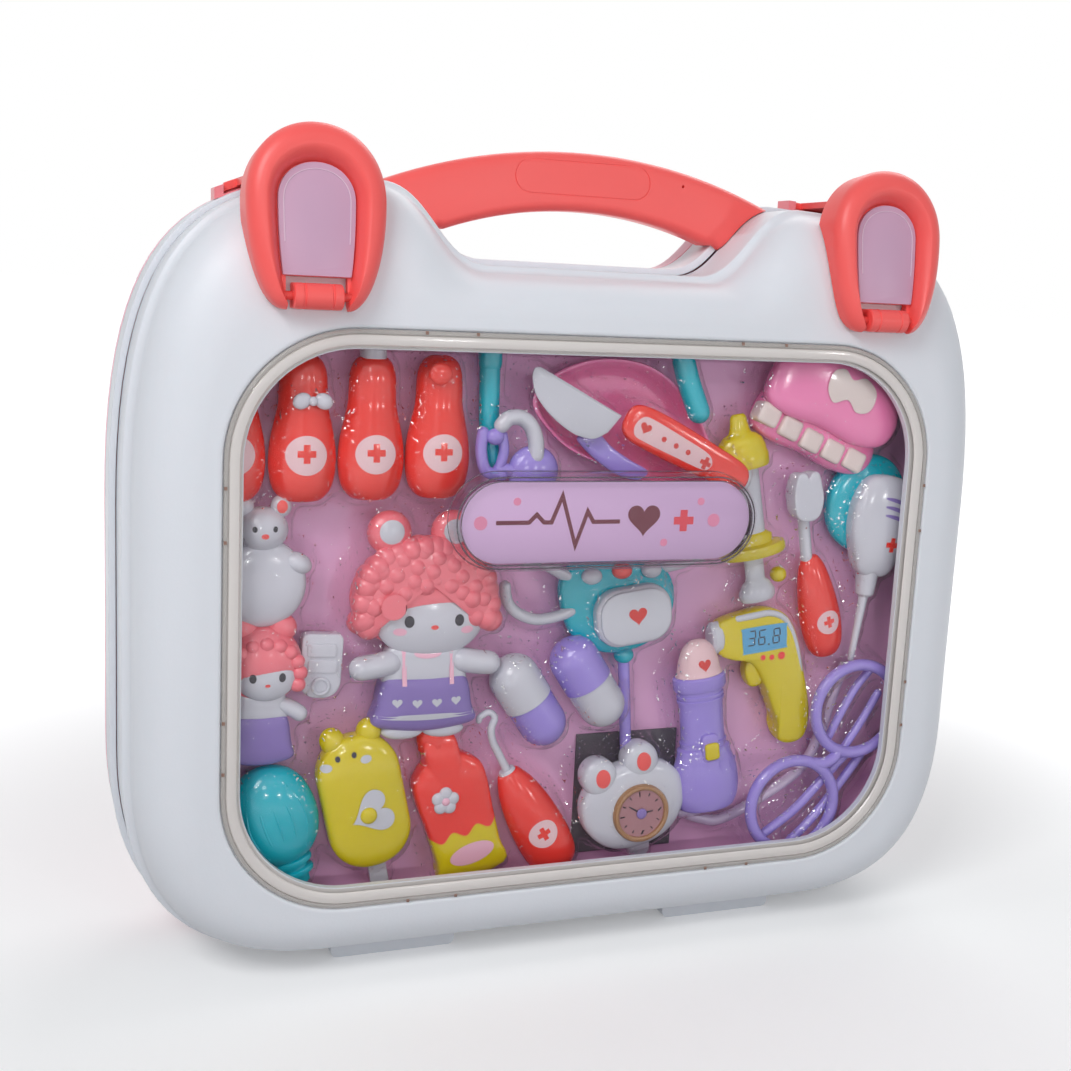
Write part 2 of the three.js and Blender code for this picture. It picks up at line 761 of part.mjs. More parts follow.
function ball(rx, ry, rz, sides = 14) {
  const sphere = new THREE.SphereGeometry(1, sides, Math.round(sides * 0.6));
  sphere.rotateX(Math.PI / 2);
  return solid_from(sphere).scale([rx, ry, rz]);
}

// Round tube along a path of [x share, z share] places at one depth
function tube_along(places_shares, radius, depth, sides = 8, steps = 10) {
  const points = places_shares.map((share) => {
    const [x, z] = toy_place(share);
    return new THREE.Vector3(x, depth, z);
  });
  const curve = points.length > 2 ? new THREE.CatmullRomCurve3(points) : new THREE.LineCurve3(...points);
  const ring = new THREE.Shape();
  for (let i = 0; i <= sides; i += 1) {
    const angle = (2 * Math.PI * i) / sides;
    if (i === 0) ring.moveTo(radius, 0);
    else if (i < sides) ring.lineTo(radius * Math.cos(angle), radius * Math.sin(angle));
  }
  const geometry = new THREE.ExtrudeGeometry(ring, {
    steps: points.length > 2 ? steps : 1,
    extrudePath: curve,
    bevelEnabled: false,
  });
  return solid_from(geometry);
}

function disc(radius, depth, sides = 20) {
  const cylinder = new THREE.CylinderGeometry(radius, radius, depth, sides);
  return solid_from(cylinder);
}

function circle_shares(count, squash = 1) {
  const points = [];
  for (let i = 0; i < count; i += 1) {
    const angle = (2 * Math.PI * i) / count;
    points.push([0.5 * Math.cos(angle), 0.5 * squash * Math.sin(angle)]);
  }
  return points;
}

// Four red hand tools: a pear-shaped grip each, and a nozzle, ring or stem on some
const pear_shares = [[0, -0.5], [0.45, -0.49], [0.82, -0.42], [1, -0.25], [0.95, -0.05], [0.76, 0.16],
  [0.72, 0.3], [0.66, 0.42], [0.35, 0.49], [0, 0.5]];
const grip = { radius: 12.4, length: 54, flatness: 0.76 };
const hand_tools = [
  { name: 'scope_grip', place_shares: [-0.965, 0.655], nozzle: 0 },
  { name: 'bow_grip', place_shares: [-0.787, 0.655], nozzle: 0 },
  { name: 'drop_grip', place_shares: [-0.61, 0.66], nozzle: 4.6 },
  { name: 'knob_grip', place_shares: [-0.434, 0.665], nozzle: 6 },
];

function hand_tool(tool) {
  let body = turned(pear_shares, grip.radius, grip.length, grip.flatness);
  if (tool.nozzle > 0) {
    const nozzle = turned([[0, 0], [1, 0], [0.8, 1], [0, 1]], tool.nozzle, tool.nozzle * 1.3);
    body = body.add(nozzle.translate([0, 0, grip.length * 0.46]));
  }
  return set_toy(body, tool.place_shares, 0);
}

// Ear tubes that hang from the top edge, a clamp on one of them and a hooked probe
const ear_tube = { radius: 3.9, depth: 20, front_depth: 13.2 };
const tube_left_shares = [[-0.3, 0.93], [-0.295, 0.72], [-0.265, 0.54]];
const tube_right_shares = [[0.245, 0.93], [0.305, 0.725]];
const clamp = {
  width: 9.5,
  height: 22,
  depth: 6.5,
  ball: 10.4,
  ball_share: 1.75,
  layer: 13.6,
  place_shares: [-0.292, 0.6],
};
const hook_probe = {
  radius: 3,
  depth: 12,
  path_shares: [[-0.275, 0.69], [-0.225, 0.705], [-0.185, 0.67], [-0.173, 0.585]],
};

function clamp_solid() {
  const c = clamp;
  const reach = c.width * c.ball_share;
  const pad = padded_form(circle_shares(14), c.width, c.height, c.depth, c.depth / 4);
  const knob = ball(c.ball, c.ball / 2, c.ball).translate([reach, 0, -c.height * 0.38]);
  const link = block([0, -c.depth / 3, -c.height * 0.48], [reach, c.depth / 3, -c.height * 0.3]);
  return set_toy(pad.add(knob).add(link), c.place_shares, 0, c.layer);
}

// Kidney dish with a knife and tweezers laid over it
const dish = {
  width: 82,
  height: 42,
  depth: 10,
  wall: 1.6,
  place_shares: [0.105, 0.7],
  lean: 22,
  layer: 22.4,
};
const knife = {
  blade_thickness: 1.4,
  layer: 10.6,
  blade_shares: [[-0.195, 0.88], [-0.185, 0.79], [-0.14, 0.72], [-0.07, 0.66], [0, 0.645], [0.03, 0.65],
    [0.068, 0.705]],
  handle_length: 62,
  handle_width: 16,
  handle_depth: 5,
  handle_place_shares: [0.262, 0.6],
  handle_lean: 25,
};
const tweezers = {
  front: 14.2,
  back: 17,
  outline_shares: [[-0.055, 0.635], [0.02, 0.56], [0.1, 0.49], [0.18, 0.49], [0.045, 0.65], [-0.005, 0.665]],
};

function dish_solid() {
  const d = dish;
  const outer = padded_form(circle_shares(20), d.width, d.height, d.depth, d.depth / 4);
  const inner = padded_form(circle_shares(20), d.width - 4 * d.wall, d.height - 4 * d.wall,
    d.depth, d.depth / 4);
  return set_toy(outer.subtract(inner.translate([0, -2 * d.wall, 0])), d.place_shares, d.lean, d.layer);
}

function shares_slab(place_list_shares, front, back) {
  return slab(place_list_shares.map(toy_place), front, back);
}

function knife_handle() {
  const k = knife;
  const half = k.handle_width / 2;
  const length = k.handle_length / 2;
  const outline = rounded_box(length, -half, half, half - overrun, half - overrun, 4);
  const bar_form = slab(outline, -k.handle_depth / 2, k.handle_depth / 2);
  return set_toy(bar_form, k.handle_place_shares, k.handle_lean, k.layer);
}

function knife_blade() {
  const k = knife;
  const plate = shares_slab(k.blade_shares, k.layer - k.blade_thickness / 2, k.layer + k.blade_thickness / 2);
  const half = k.handle_width / 2 + gap;
  const hand = rounded_box(k.handle_length / 2 + gap, -half, half, half - overrun, half - overrun, 4);
  const cut = set_toy(slab(hand, -k.handle_depth, k.handle_depth), k.handle_place_shares,
    k.handle_lean, k.layer);
  return plate.subtract(cut);
}

// Denture model: a lower arch with teeth under an upper pad
const denture = {
  width: 62,
  height: 36,
  depth: 10,
  lip_width: 58,
  lip_height: 33,
  lip_drop: 6,
  place_shares: [0.725, 0.745],
  lean: 22,
  layer: 14,
  teeth: 6,
  tooth: 5.2,
  arch_share: 0.47,
  first_turn_share: 1.08,
  turn_share: 0.72,
};

function denture_solid() {
  const d = denture;
  const upper = padded_form(circle_shares(18), d.width, d.height, d.depth, d.depth / 3);
  const lower = padded_form(circle_shares(18), d.lip_width, d.lip_height, d.depth, d.depth / 3)
    .translate([-d.lip_drop * 0.5, d.depth * 0.75, -d.lip_drop]);
  let body = upper.add(lower);
  for (let i = 0; i < d.teeth; i += 1) {
    const angle = Math.PI * (d.first_turn_share + (d.turn_share * i) / (d.teeth - 1));
    const x = d.width * d.arch_share * Math.cos(angle) - d.lip_drop / 4;
    const z = d.height * d.arch_share * Math.sin(angle) - d.lip_drop / 2;
    body = body.add(ball(d.tooth, d.tooth, d.tooth * 0.9, 8).translate([x, d.depth * 0.3, z]));
  }
  return set_toy(body, d.place_shares, d.lean, d.layer);
}

// Syringe: cone cap, barrel, finger flange and plunger on one axis
const syringe = {
  radius: 13.5,
  length: 80,
  place_shares: [0.505, 0.365],
  lean: -11.5,
  depth: 20.8,
  flatness: 0.5,
  profile_shares: [[0, -0.5], [0.42, -0.5], [0.42, -0.34], [0.28, -0.32], [0.28, -0.24], [1, -0.19], [1, -0.15],
    [0.42, -0.13], [0.42, 0.2], [0.66, 0.22], [0.66, 0.33], [0.3, 0.42], [0, 0.5]],
};

// Toothbrush: head, stem and grip
const brush = {
  head_width: 12.5,
  head_height: 19.5,
  head_depth: 8,
  head_shares: [0.68, 0.41],
  head_lean: -6,
  stem: 2.7,
  stem_shares: [[0.688, 0.34], [0.722, 0.15]],
  grip_radius: 9,
  grip_length: 44,
  grip_shares: [0.765, -0.03],
  grip_lean: -16,
  flatness: 0.75,
  depth: 20.7,
  profile_shares: [[0, -0.5], [0.5, -0.49], [0.85, -0.38], [1, -0.1], [0.92, 0.2], [0.66, 0.45], [0.4, 0.5],
    [0, 0.5]],
};

function brush_solid() {
  const b = brush;
  const head = set_toy(padded_form(circle_shares(14), b.head_width, b.head_height, b.head_depth,
    b.head_depth / 3), b.head_shares, b.head_lean, b.depth);
  const handle_form = set_toy(turned(b.profile_shares, b.grip_radius, b.grip_length, b.flatness, 12),
    b.grip_shares, b.grip_lean, b.depth);
  return head.add(tube_along(b.stem_shares, b.stem, b.depth)).add(handle_form);
}

// Lamp: a teal backing pad, a white bulb body with a neck, and a thin wand below it
const lamp = {
  pad_width: 38,
  pad_height: 46,
  pad_depth: 7,
  pad_shares: [0.905, 0.37],
  pad_lean: 12,
  pad_layer: 21.8,
  body_width: 28,
  body_height: 44,
  body_depth: 13,
  body_shares: [0.915, 0.285],
  body_lean: 4,
  body_layer: 15,
  neck: 4.4,
  neck_shares: [[0.907, 0.12], [0.9, 0.03]],
  wand: 1.8,
  wand_shares: [[0.9, 0.07], [0.872, -0.235]],
  wand_layer: 16,
};

function lamp_solid() {
  const l = lamp;
  const pad = set_toy(padded_form(circle_shares(16), l.pad_width, l.pad_height, l.pad_depth, l.pad_depth / 3),
    l.pad_shares, l.pad_lean, l.pad_layer);
  const body = set_toy(padded_form(circle_shares(16), l.body_width, l.body_height, l.body_depth,
    l.body_depth / 3), l.body_shares, l.body_lean, l.body_layer);
  const neck = tube_along(l.neck_shares, l.neck, l.wand_layer);
  return pad.add(body).add(neck).add(tube_along(l.wand_shares, l.wand, l.wand_layer));
}

// Thermometer gun
const gun = {
  width: 48,
  height: 61,
  depth: 12,
  edge: 3,
  layer: 20.4,
  place_shares: [0.58, -0.3],
  outline_shares: [[0.21, -0.5], [0.42, -0.5], [0.5, -0.43], [0.52, -0.24], [0.43, 0.02], [0.4, 0.16],
    [0.31, 0.36], [0.18, 0.46], [0.02, 0.5], [-0.44, 0.41], [-0.5, 0.34], [-0.5, 0.18], [-0.42, 0.12],
    [-0.1, 0.1], [0.06, -0.06], [0.15, -0.24]],
};

// Torch: domed head, collar, barrel and flared foot
const torch = {
  radius: 14.6,
  length: 74,
  place_shares: [0.395, -0.47],
  lean: -8,
  flatness: 0.66,
  profile_shares: [[0, -0.5], [0.72, -0.49], [0.95, -0.4], [1, -0.27], [0.78, -0.17], [0.66, -0.12],
    [0.66, 0.24], [0.8, 0.26], [0.8, 0.33], [0.66, 0.36], [0.6, 0.43], [0.36, 0.49], [0, 0.5]],
};

// Two capsules
const capsule = { radius: 9.8, length: 42, lean: -34 };
const capsule_places_shares = { left: [-0.147, -0.335], right: [0.028, -0.278] };

function capsule_solid(side) {
  const geometry = new THREE.CapsuleGeometry(capsule.radius, capsule.length - 2 * capsule.radius, 4, 14);
  geometry.rotateX(Math.PI / 2);
  return set_toy(solid_from(geometry), capsule_places_shares[side], capsule.lean);
}

// Stethoscope chest piece with its oval cap, side arm and hanging stem
const chest_piece = {
  width: 52,
  height: 42,
  depth: 9,
  layer: 21,
  lean: 6,
  place_shares: [0.108, 0.005],
  cap_width: 31,
  cap_height: 23,
  cap_layer: 14.5,
  cap_lean: -8,
  cap_shares: [0.145, -0.02],
  arm_radius: 2.4,
  arm_shares: [[-0.225, 0.085], [-0.2, 0.005], [-0.125, -0.035], [-0.03, -0.005]],
  stem_radius: 2.7,
  stem_shares: [[0.14, -0.15], [0.168, -0.49]],
};

function chest_piece_solid() {
  const c = chest_piece;
  const pad = set_toy(padded_form(circle_shares(18), c.width, c.height, c.depth, c.depth / 3),
    c.place_shares, c.lean, c.layer);
  const cap = set_toy(padded_form(circle_shares(16), c.cap_width, c.cap_height, c.depth, c.depth / 3),
    c.cap_shares, c.cap_lean, c.cap_layer);
  const side_arm = tube_along(c.arm_shares, c.arm_radius, c.layer);
  return pad.add(cap).add(side_arm).add(tube_along(c.stem_shares, c.stem_radius, c.layer));
}

// Play watch with two round lugs and its backing card
const watch = {
  width: 44,
  height: 40,
  depth: 12,
  layer: 16.5,
  lean: -20,
  place_shares: [0.185, -0.775],
  lug: 7.6,
  lug_layer: 16,
  lug_places_shares: [[0.07, -0.645], [0.192, -0.59]],
  dial: 11,
  dial_layer: 11.2,
  dial_shares: [0.197, -0.79],
  bezel: 1.6,
  card_width: 46,
  card_height: 52,
  card: 0.6,
  card_shares: [0.19, -0.75],
};

function watch_solid() {
  const w = watch;
  let body = set_toy(padded_form(circle_shares(18), w.width, w.height, w.depth, w.depth / 3),
    w.place_shares, w.lean, w.layer);
  for (const place of w.lug_places_shares) {
    body = body.add(set_toy(ball(w.lug, w.depth / 2, w.lug, 12), place, 0, w.lug_layer));
  }
  const hollow = disc(w.dial - w.bezel, w.bezel * 2).translate([0, -2 * w.bezel, 0]);
  return body.add(set_toy(disc(w.dial, w.bezel * 3).subtract(hollow), w.dial_shares, 0, w.dial_layer));
}

function watch_card() {
  const w = watch;
  const [x, z] = toy_place(w.card_shares);
  return block([x - w.card_width / 2, toy_back - w.card, z - w.card_height / 2],
    [x + w.card_width / 2, toy_back, z + w.card_height / 2]);
}

// Dental hook: a grip with a thin curved hook
const hook_tool = {
  radius: 10.6,
  length: 50,
  place_shares: [-0.107, -0.81],
  lean: -30,
  flatness: 0.75,
  layer: 19.5,
  hook: 1.7,
  profile_shares: [[0, -0.5], [0.5, -0.49], [0.9, -0.4], [1, -0.15], [0.95, 0.1], [0.75, 0.35], [0.45, 0.48],
    [0, 0.5]],
  hook_shares: [[-0.187, -0.64], [-0.222, -0.54], [-0.248, -0.465], [-0.242, -0.4], [-0.264, -0.37],
    [-0.285, -0.4]],
};

function hook_tool_solid() {
  const t = hook_tool;
  const form = turned(t.profile_shares, t.radius, t.length, t.flatness);
  const body = set_toy(form, t.place_shares, t.lean, t.layer);
  return body.add(tube_along(t.hook_shares, t.hook, t.layer, 6, 14));
}

// Cream tube with its cap
const cream_tube = {
  width: 30,
  height: 62,
  depth: 14,
  edge: 3,
  layer: 20.5,
  place_shares: [-0.345, -0.715],
  lean: -17,
  outline_shares: [[0.42, -0.5], [0.46, 0], [0.5, 0.18], [0.42, 0.28], [0.24, 0.34], [0.22, 0.46], [0.1, 0.5],
    [-0.1, 0.5], [-0.22, 0.46], [-0.24, 0.34], [-0.42, 0.28], [-0.5, 0.18], [-0.46, 0], [-0.42, -0.5]],
};

// Ice lolly with two round lobes and a stick
const lolly = {
  radius: 16.2,
  length: 54,
  depth: 15,
  lobe: 5.2,
  lobe_share: 0.42,
  stick: 3.6,
  stick_length: 10,
  place_shares: [-0.605, -0.66],
  lean: -12.5,
  edge_shares: [[0.72, 0.82], [0.92, 0.95], [1, 1], [1, 1], [0.9, 0.94]],
  depth_shares: [-0.5, -0.375, -0.1, 0.25, 0.5],
};

function lolly_solid() {
  const l = lolly;
  const half = l.length / 2;
  const outline = rounded_box(l.radius, -half, half, l.radius - overrun, l.radius - overrun, 5);
  let body = loft(l.depth_shares.map((share, i) => ({
    outline: outline.map(([x, z]) => [x * l.edge_shares[i][0], z * l.edge_shares[i][1]]),
    depth: l.depth * share,
  })));
  for (const side of [-1, 1]) {
    const lobe = ball(l.lobe, l.lobe, l.lobe * 1.3, 10);
    body = body.add(lobe.translate([side * l.radius * l.lobe_share, 0, half * 0.97]));
  }
  body = body.add(block([-l.stick, -l.stick / 3, -half - l.stick_length], [l.stick, l.stick / 3, -half * 0.8]));
  return set_toy(body, l.place_shares, l.lean);
}

// Squeeze bulb with a ring at its neck
const squeeze = {
  radius: 14.6,
  length: 48,
  place_shares: [-0.83, -0.75],
  lean: -19,
  flatness: 0.62,
  profile_shares: [[0, -0.5], [0.3, -0.5], [0.32, -0.42], [0.5, -0.4], [0.5, -0.34], [0.6, -0.3], [0.92, -0.1],
    [1, 0.1], [0.88, 0.32], [0.5, 0.46], [0, 0.5]],
};

// Play figures: a bonnet doll, a small one beside it and a white figure, all with plain round ears
const doll = {
  head_width: 57,
  head_height: 47,
  head_depth: 19,
  place_shares: [-0.458, 0.09],
  ear: 8.6,
  ear_places_shares: [[-0.545, 0.3], [-0.395, 0.31]],
  body_width: 40,
  body_height: 30,
  body_depth: 15,
  body_shares: [-0.452, -0.265],
  arm: 7.4,
  arm_places_shares: [[-0.592, -0.185], [-0.318, -0.165]],
};
const small_doll = {
  head_width: 28,
  head_height: 32,
  depth: 17,
  place_shares: [-0.875, -0.16],
  ear: 6.8,
  ear_place_shares: [-0.86, 0.015],
  body_width: 24,
  body_height: 25,
  body_shares: [-0.895, -0.4],
};
const figure = {
  head: 8.6,
  place_shares: [-0.885, 0.325],
  ear: 4.4,
  ear_place_shares: [-0.872, 0.42],
  body_width: 30,
  body_height: 29,
  depth: 16,
  body_shares: [-0.885, 0.14],
};
const dress_shares = [[0.5, -0.5], [0.5, -0.38], [0.34, 0.5], [-0.34, 0.5], [-0.5, -0.38], [-0.5, -0.5]];

function doll_head() {
  const d = doll;
  let body = set_toy(ball(d.head_width / 2, d.head_depth / 2, d.head_height / 2, 20), d.place_shares, 0);
  for (const place of d.ear_places_shares) {
    body = body.add(set_toy(ball(d.ear, d.ear * 0.6, d.ear, 12), place, 0));
  }
  return body;
}

function doll_body() {
  const d = doll;
  let body = set_toy(padded_form(dress_shares, d.body_width, d.body_height, d.body_depth, d.body_depth / 4),
    d.body_shares, 0);
  for (const place of d.arm_places_shares) {
    body = body.add(set_toy(ball(d.arm * 1.2, d.arm * 0.75, d.arm * 0.8, 10), place, 0));
  }
  const head = ball(d.head_width / 2 + gap, d.head_depth / 2 + gap, d.head_height / 2 + gap, 20);
  return body.subtract(set_toy(head, d.place_shares, 0));
}

function small_doll_solid() {
  const d = small_doll;
  const head = set_toy(ball(d.head_width / 2, d.depth / 2, d.head_height / 2, 14), d.place_shares, 0);
  const top = set_toy(ball(d.ear, d.ear * 0.6, d.ear, 10), d.ear_place_shares, 0);
  const body = set_toy(padded_form(dress_shares, d.body_width, d.body_height, d.depth * 0.8, d.depth / 5),
    d.body_shares, 0);
  return head.add(top).add(body);
}

function figure_solid() {
  const f = figure;
  const head = set_toy(ball(f.head, f.depth / 2, f.head, 12), f.place_shares, 0);
  const top = set_toy(ball(f.ear, f.ear * 0.8, f.ear, 8), f.ear_place_shares, 0);
  const body = set_toy(padded_form(circle_shares(14), f.body_width, f.body_height, f.depth, f.depth / 3),
    f.body_shares, 0);
  return head.add(top).add(body);
}

// Pill box with two lids and a ring
const pill_box = {
  half_width: 7.8,
  half_height: 12.4,
  depth: 9,
  layer: 21.6,
  place_shares: [-0.725, -0.17],
  cell: 4.8,
  cell_shares: [0.45, -0.1],
  ring: 3,
  ring_share: -0.62,
};

function pill_box_solid() {
  const b = pill_box;
  const outline = rounded_box(b.half_width, -b.half_height, b.half_height, b.half_width - overrun,
    overrun * 2, 4);
  let body = slab(outline, -b.depth / 2, b.depth / 2);
  for (const share of b.cell_shares) {
    body = body.add(block([-b.cell, -b.depth / 2 - overrun, b.half_height * share - b.cell / 2],
      [b.cell, 0, b.half_height * share + b.cell / 2]));
  }
  const ring = disc(b.ring, b.depth + overrun, 12);
  body = body.add(ring.translate([0, -overrun / 2, b.half_height * b.ring_share]));
  return set_toy(body, b.place_shares, 0, b.layer);
}

// Play spectacles: two rims, a bridge and two folded arms behind them
const spectacles = {
  rim: 19.2,
  wire: 2.4,
  depth: 11,
  rim_places_shares: [[0.69, -0.81], [0.885, -0.43]],
  bridge_shares: [[0.77, -0.68], [0.835, -0.56]],
  arm: 1.7,
  arms_shares: [[[0.62, -0.93], [0.885, -0.62]], [[0.7, -0.99], [0.93, -0.64]]],
};

function spectacles_solid() {
  const s = spectacles;
  const rims = s.rim_places_shares.map((place) => {
    const ring = new THREE.TorusGeometry(s.rim, s.wire, 6, 20);
    ring.rotateX(Math.PI / 2);
    return set_toy(solid_from(ring), place, 0, s.depth);
  });
  const bridge = tube_along(s.bridge_shares, s.wire, s.depth, 6);
  const arms = s.arms_shares.map((path) => tube_along(path, s.arm, s.depth + s.wire, 6));
  return [...rims, bridge, ...arms].reduce((sum, piece) => sum.add(piece));
}

// The case as it goes together, the rear half first
add_piece('rear_shell', rear_shell(), white);
add_piece('back_cover', back_cover(), pale_pink);
add_piece('front_shell', front_shell(), white);
add_piece('handle', handle_solid(), coral);
add_piece('window_panel', window_panel(), clear);
add_piece('pill_plate', pill_plate(), pale_pink);
const lever = ear_lever();
const inlay = ear_inlay();
const keeper = ear_catch();
for (const [word, side] of [['left', -1], ['right', 1]]) {
  const handed = (solid) => (side > 0 ? solid : solid.mirror([1, 0, 0]));
  add_piece(`latch_ear_${word}`, handed(lever), coral);
  add_piece(`latch_inlay_${word}`, handed(inlay), mauve);
  add_piece(`latch_catch_${word}`, handed(keeper), pale_pink);
  add_piece(`latch_bracket_${word}`, ear_bracket(side), coral);
  add_piece(`latch_pin_${word}`, bar(side * latch_spacing - ear.pin_half, side * latch_spacing + ear.pin_half,
    ear.axis_depth, ear.axis_height, ear.pin_radius, 14), coral);
  add_piece(`front_foot_${word}`, foot_solid(side, true), white);
  add_piece(`rear_foot_${word}`, foot_solid(side, false), white);
  add_piece(`hinge_pin_${word}`, bar(side * foot_spacing - foot.width / 2, side * foot_spacing + foot.width / 2,
    seam_depth, hinge.height, hinge.pin_radius, 12), steel);
}
add_piece('inner_tray', inner_tray(), card_pink);
add_piece('blister', blister_cover(), clear);

// The instruments on the tray, each made hollow where it rests against one that is named before it
const hanging_tube = tube_along(tube_left_shares, ear_tube.radius, ear_tube.depth);
const torch_form = set_toy(turned(torch.profile_shares, torch.radius, torch.length, torch.flatness),
  torch.place_shares, torch.lean);
const syringe_form = set_toy(turned(syringe.profile_shares, syringe.radius, syringe.length, syringe.flatness),
  syringe.place_shares, syringe.lean, syringe.depth);
const squeeze_form = set_toy(turned(squeeze.profile_shares, squeeze.radius, squeeze.length, squeeze.flatness),
  squeeze.place_shares, squeeze.lean);
const gun_form = set_toy(padded_form(gun.outline_shares, gun.width, gun.height, gun.depth, gun.edge),
  gun.place_shares, 0, gun.layer);
const cream_tube_form = set_toy(padded_form(cream_tube.outline_shares, cream_tube.width, cream_tube.height,
  cream_tube.depth, cream_tube.edge), cream_tube.place_shares, cream_tube.lean, cream_tube.layer);
const knife_form = knife_handle();
const lamp_form = lamp_solid();
const glasses = spectacles_solid();
const right_capsule = capsule_solid('right');
const small_figure = small_doll_solid();
const doll_dress = doll_body();

for (const tool of hand_tools) add_piece(tool.name, hand_tool(tool), red);
add_piece('ear_tube_left', hanging_tube, teal);
add_piece('ear_tube_right', tube_along(tube_right_shares, ear_tube.radius, ear_tube.front_depth), teal);
add_piece('hooked_probe', tube_along(hook_probe.path_shares, hook_probe.radius, hook_probe.depth), cream);
const probe_room = tube_along(hook_probe.path_shares, hook_probe.radius + gap, hook_probe.depth);
add_piece('tube_clamp', rest_against(clamp_solid().subtract(probe_room), hanging_tube), lilac);
add_piece('kidney_dish', dish_solid(), rose);
add_piece('knife_handle', knife_form, red);
add_piece('knife_blade', knife_blade(), cream);
add_piece('tweezers', shares_slab(tweezers.outline_shares, tweezers.front, tweezers.back), lilac);
add_piece('denture', rest_against(denture_solid(), lamp_form), rose);
add_piece('syringe', rest_against(syringe_form, knife_form), cream);
add_piece('toothbrush', brush_solid(), red);
add_piece('lamp', lamp_form, cream);
add_piece('torch', torch_form, lilac);
add_piece('spectacles', glasses, lilac);
add_piece('thermometer', rest_against(gun_form, torch_form, glasses), yellow);
add_piece('capsule_left', capsule_solid('left'), cream);
add_piece('capsule_right', right_capsule, lilac);
add_piece('chest_piece', rest_against(chest_piece_solid(), right_capsule), teal);
add_piece('watch', rest_against(watch_solid(), torch_form), cream);
add_piece('watch_card', watch_card(), grey);
add_piece('dental_hook', hook_tool_solid(), red);
add_piece('cream_tube', cream_tube_form, red);
add_piece('small_doll', small_figure, coral);
add_piece('white_figure', rest_against(figure_solid(), small_figure, hand_tool(hand_tools[1])), cream);
add_piece('squeeze_bulb', rest_against(squeeze_form, small_figure), teal);
add_piece('doll_head', doll_head(), coral);
add_piece('doll_body', doll_dress, lilac);
add_piece('ice_lolly', rest_against(lolly_solid(), doll_dress, squeeze_form), yellow);
add_piece('pill_box', pill_box_solid(), cream);

export default part;
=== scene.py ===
import math

import bmesh
import bpy
import numpy as np
from mathutils import Matrix, Vector, geometry, noise
from mathutils.bvhtree import BVHTree


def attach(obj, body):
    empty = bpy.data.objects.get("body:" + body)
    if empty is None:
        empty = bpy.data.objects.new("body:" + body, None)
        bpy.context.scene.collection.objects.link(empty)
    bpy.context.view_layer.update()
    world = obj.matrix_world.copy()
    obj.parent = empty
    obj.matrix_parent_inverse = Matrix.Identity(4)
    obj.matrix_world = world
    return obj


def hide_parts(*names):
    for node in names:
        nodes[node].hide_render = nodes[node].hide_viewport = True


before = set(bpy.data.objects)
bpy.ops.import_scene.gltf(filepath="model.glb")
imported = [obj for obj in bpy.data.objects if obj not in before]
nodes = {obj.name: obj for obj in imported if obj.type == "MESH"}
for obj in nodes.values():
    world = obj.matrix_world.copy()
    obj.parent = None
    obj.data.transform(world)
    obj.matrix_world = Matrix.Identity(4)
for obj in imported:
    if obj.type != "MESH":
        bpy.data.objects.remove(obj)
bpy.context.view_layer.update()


# Camera
# The photograph is taken from the left of the case and just under its top. Lengths are in
# millimetres from the window's centre: x to the right, depth from the front face, z up.
DEPTH_SHIFT = -38.9
WINDOW_Z = 139.6
FOCAL_PIXELS = 1416
FRAME_PIXELS = 1071

camera = bpy.data.objects.new("camera", bpy.data.cameras.new("camera"))
bpy.context.scene.collection.objects.link(camera)
right = Vector((0.93701, -0.34600, 0.04788))
up = Vector((0.01607, 0.17963, 0.98360))
forward = Vector((0.34893, 0.92088, -0.17387))


def spot(x, depth, z):
    """A place given in the photograph's millimetres, in the frame's metres."""
    return Vector((x, depth + DEPTH_SHIFT, z + WINDOW_Z)) / 1000


camera.matrix_world = Matrix.Translation(spot(-215.0, -492.9, 126.7)) @ Matrix((right, up,
        -forward)).transposed().to_4x4()
camera.data.sensor_width = 36
camera.data.sensor_fit = "HORIZONTAL"
camera.data.lens = 36 * FOCAL_PIXELS / FRAME_PIXELS
camera.data.clip_start = 0.01
camera.data.clip_end = 50
bpy.context.scene.camera = camera
bpy.context.scene.view_settings.view_transform = "Standard"


# Light and floor
# A soft lamp from the upper left, a weaker one in front, one behind, and four small ones that make
# glints. The floor is matt paper that turns to pure white away from the case.


def area_light(name, place, target, size, watts):
    lamp = bpy.data.objects.new(name, bpy.data.lights.new(name, "AREA"))
    lamp.data.shape = "RECTANGLE"
    lamp.data.size, lamp.data.size_y = size
    lamp.data.energy = watts
    lamp.location = place
    lamp.rotation_euler = (Vector(target) - Vector(place)).to_track_quat("-Z", "Y").to_euler()
    bpy.context.scene.collection.objects.link(lamp)


area_light("key", (-0.7, -0.65, 0.9), (0, 0, 0.18), (0.5, 0.4), 5.4)
area_light("front", (0.2, -1.3, 1.1), (0, 0, 0.15), (1.2, 0.5), 1.2)
area_light("back", (0.8, 0.8, 1.4), (0, 0, 0.1), (1.4, 0.8), 7)
for name, spot_lit in (("glint_left", (-0.25, -1.25, 0.36)), ("glint_middle", (0.3, -1.25, 0.34)),
                       ("glint_right", (0.85, -1.2, 0.34)), ("glint_high", (-0.35, -1.2, 0.75))):
    area_light(name, spot_lit, (0, 0, 0.15), (0.045, 0.045), 0.8)

world = bpy.data.worlds.new("surround")
world.use_nodes = True
bpy.context.scene.world = world

surround = world.node_tree
sky = surround.nodes["Background"]
sky.inputs["Color"].default_value = (0.93, 0.96, 1, 1)
sky.inputs["Strength"].default_value = 0.3


def node(tree, kind, inputs=None, **settings):
    """Adds a node with its settings, values and links; a socket given as a value is linked."""
    made = tree.nodes.new(kind)
    for name, value in settings.items():
        setattr(made, name, value)
    for name, value in (inputs or {}).items():
        if isinstance(value, bpy.types.NodeSocket):
            tree.links.new(value, made.inputs[name])
        else:
            made.inputs[name].default_value = value
    return made


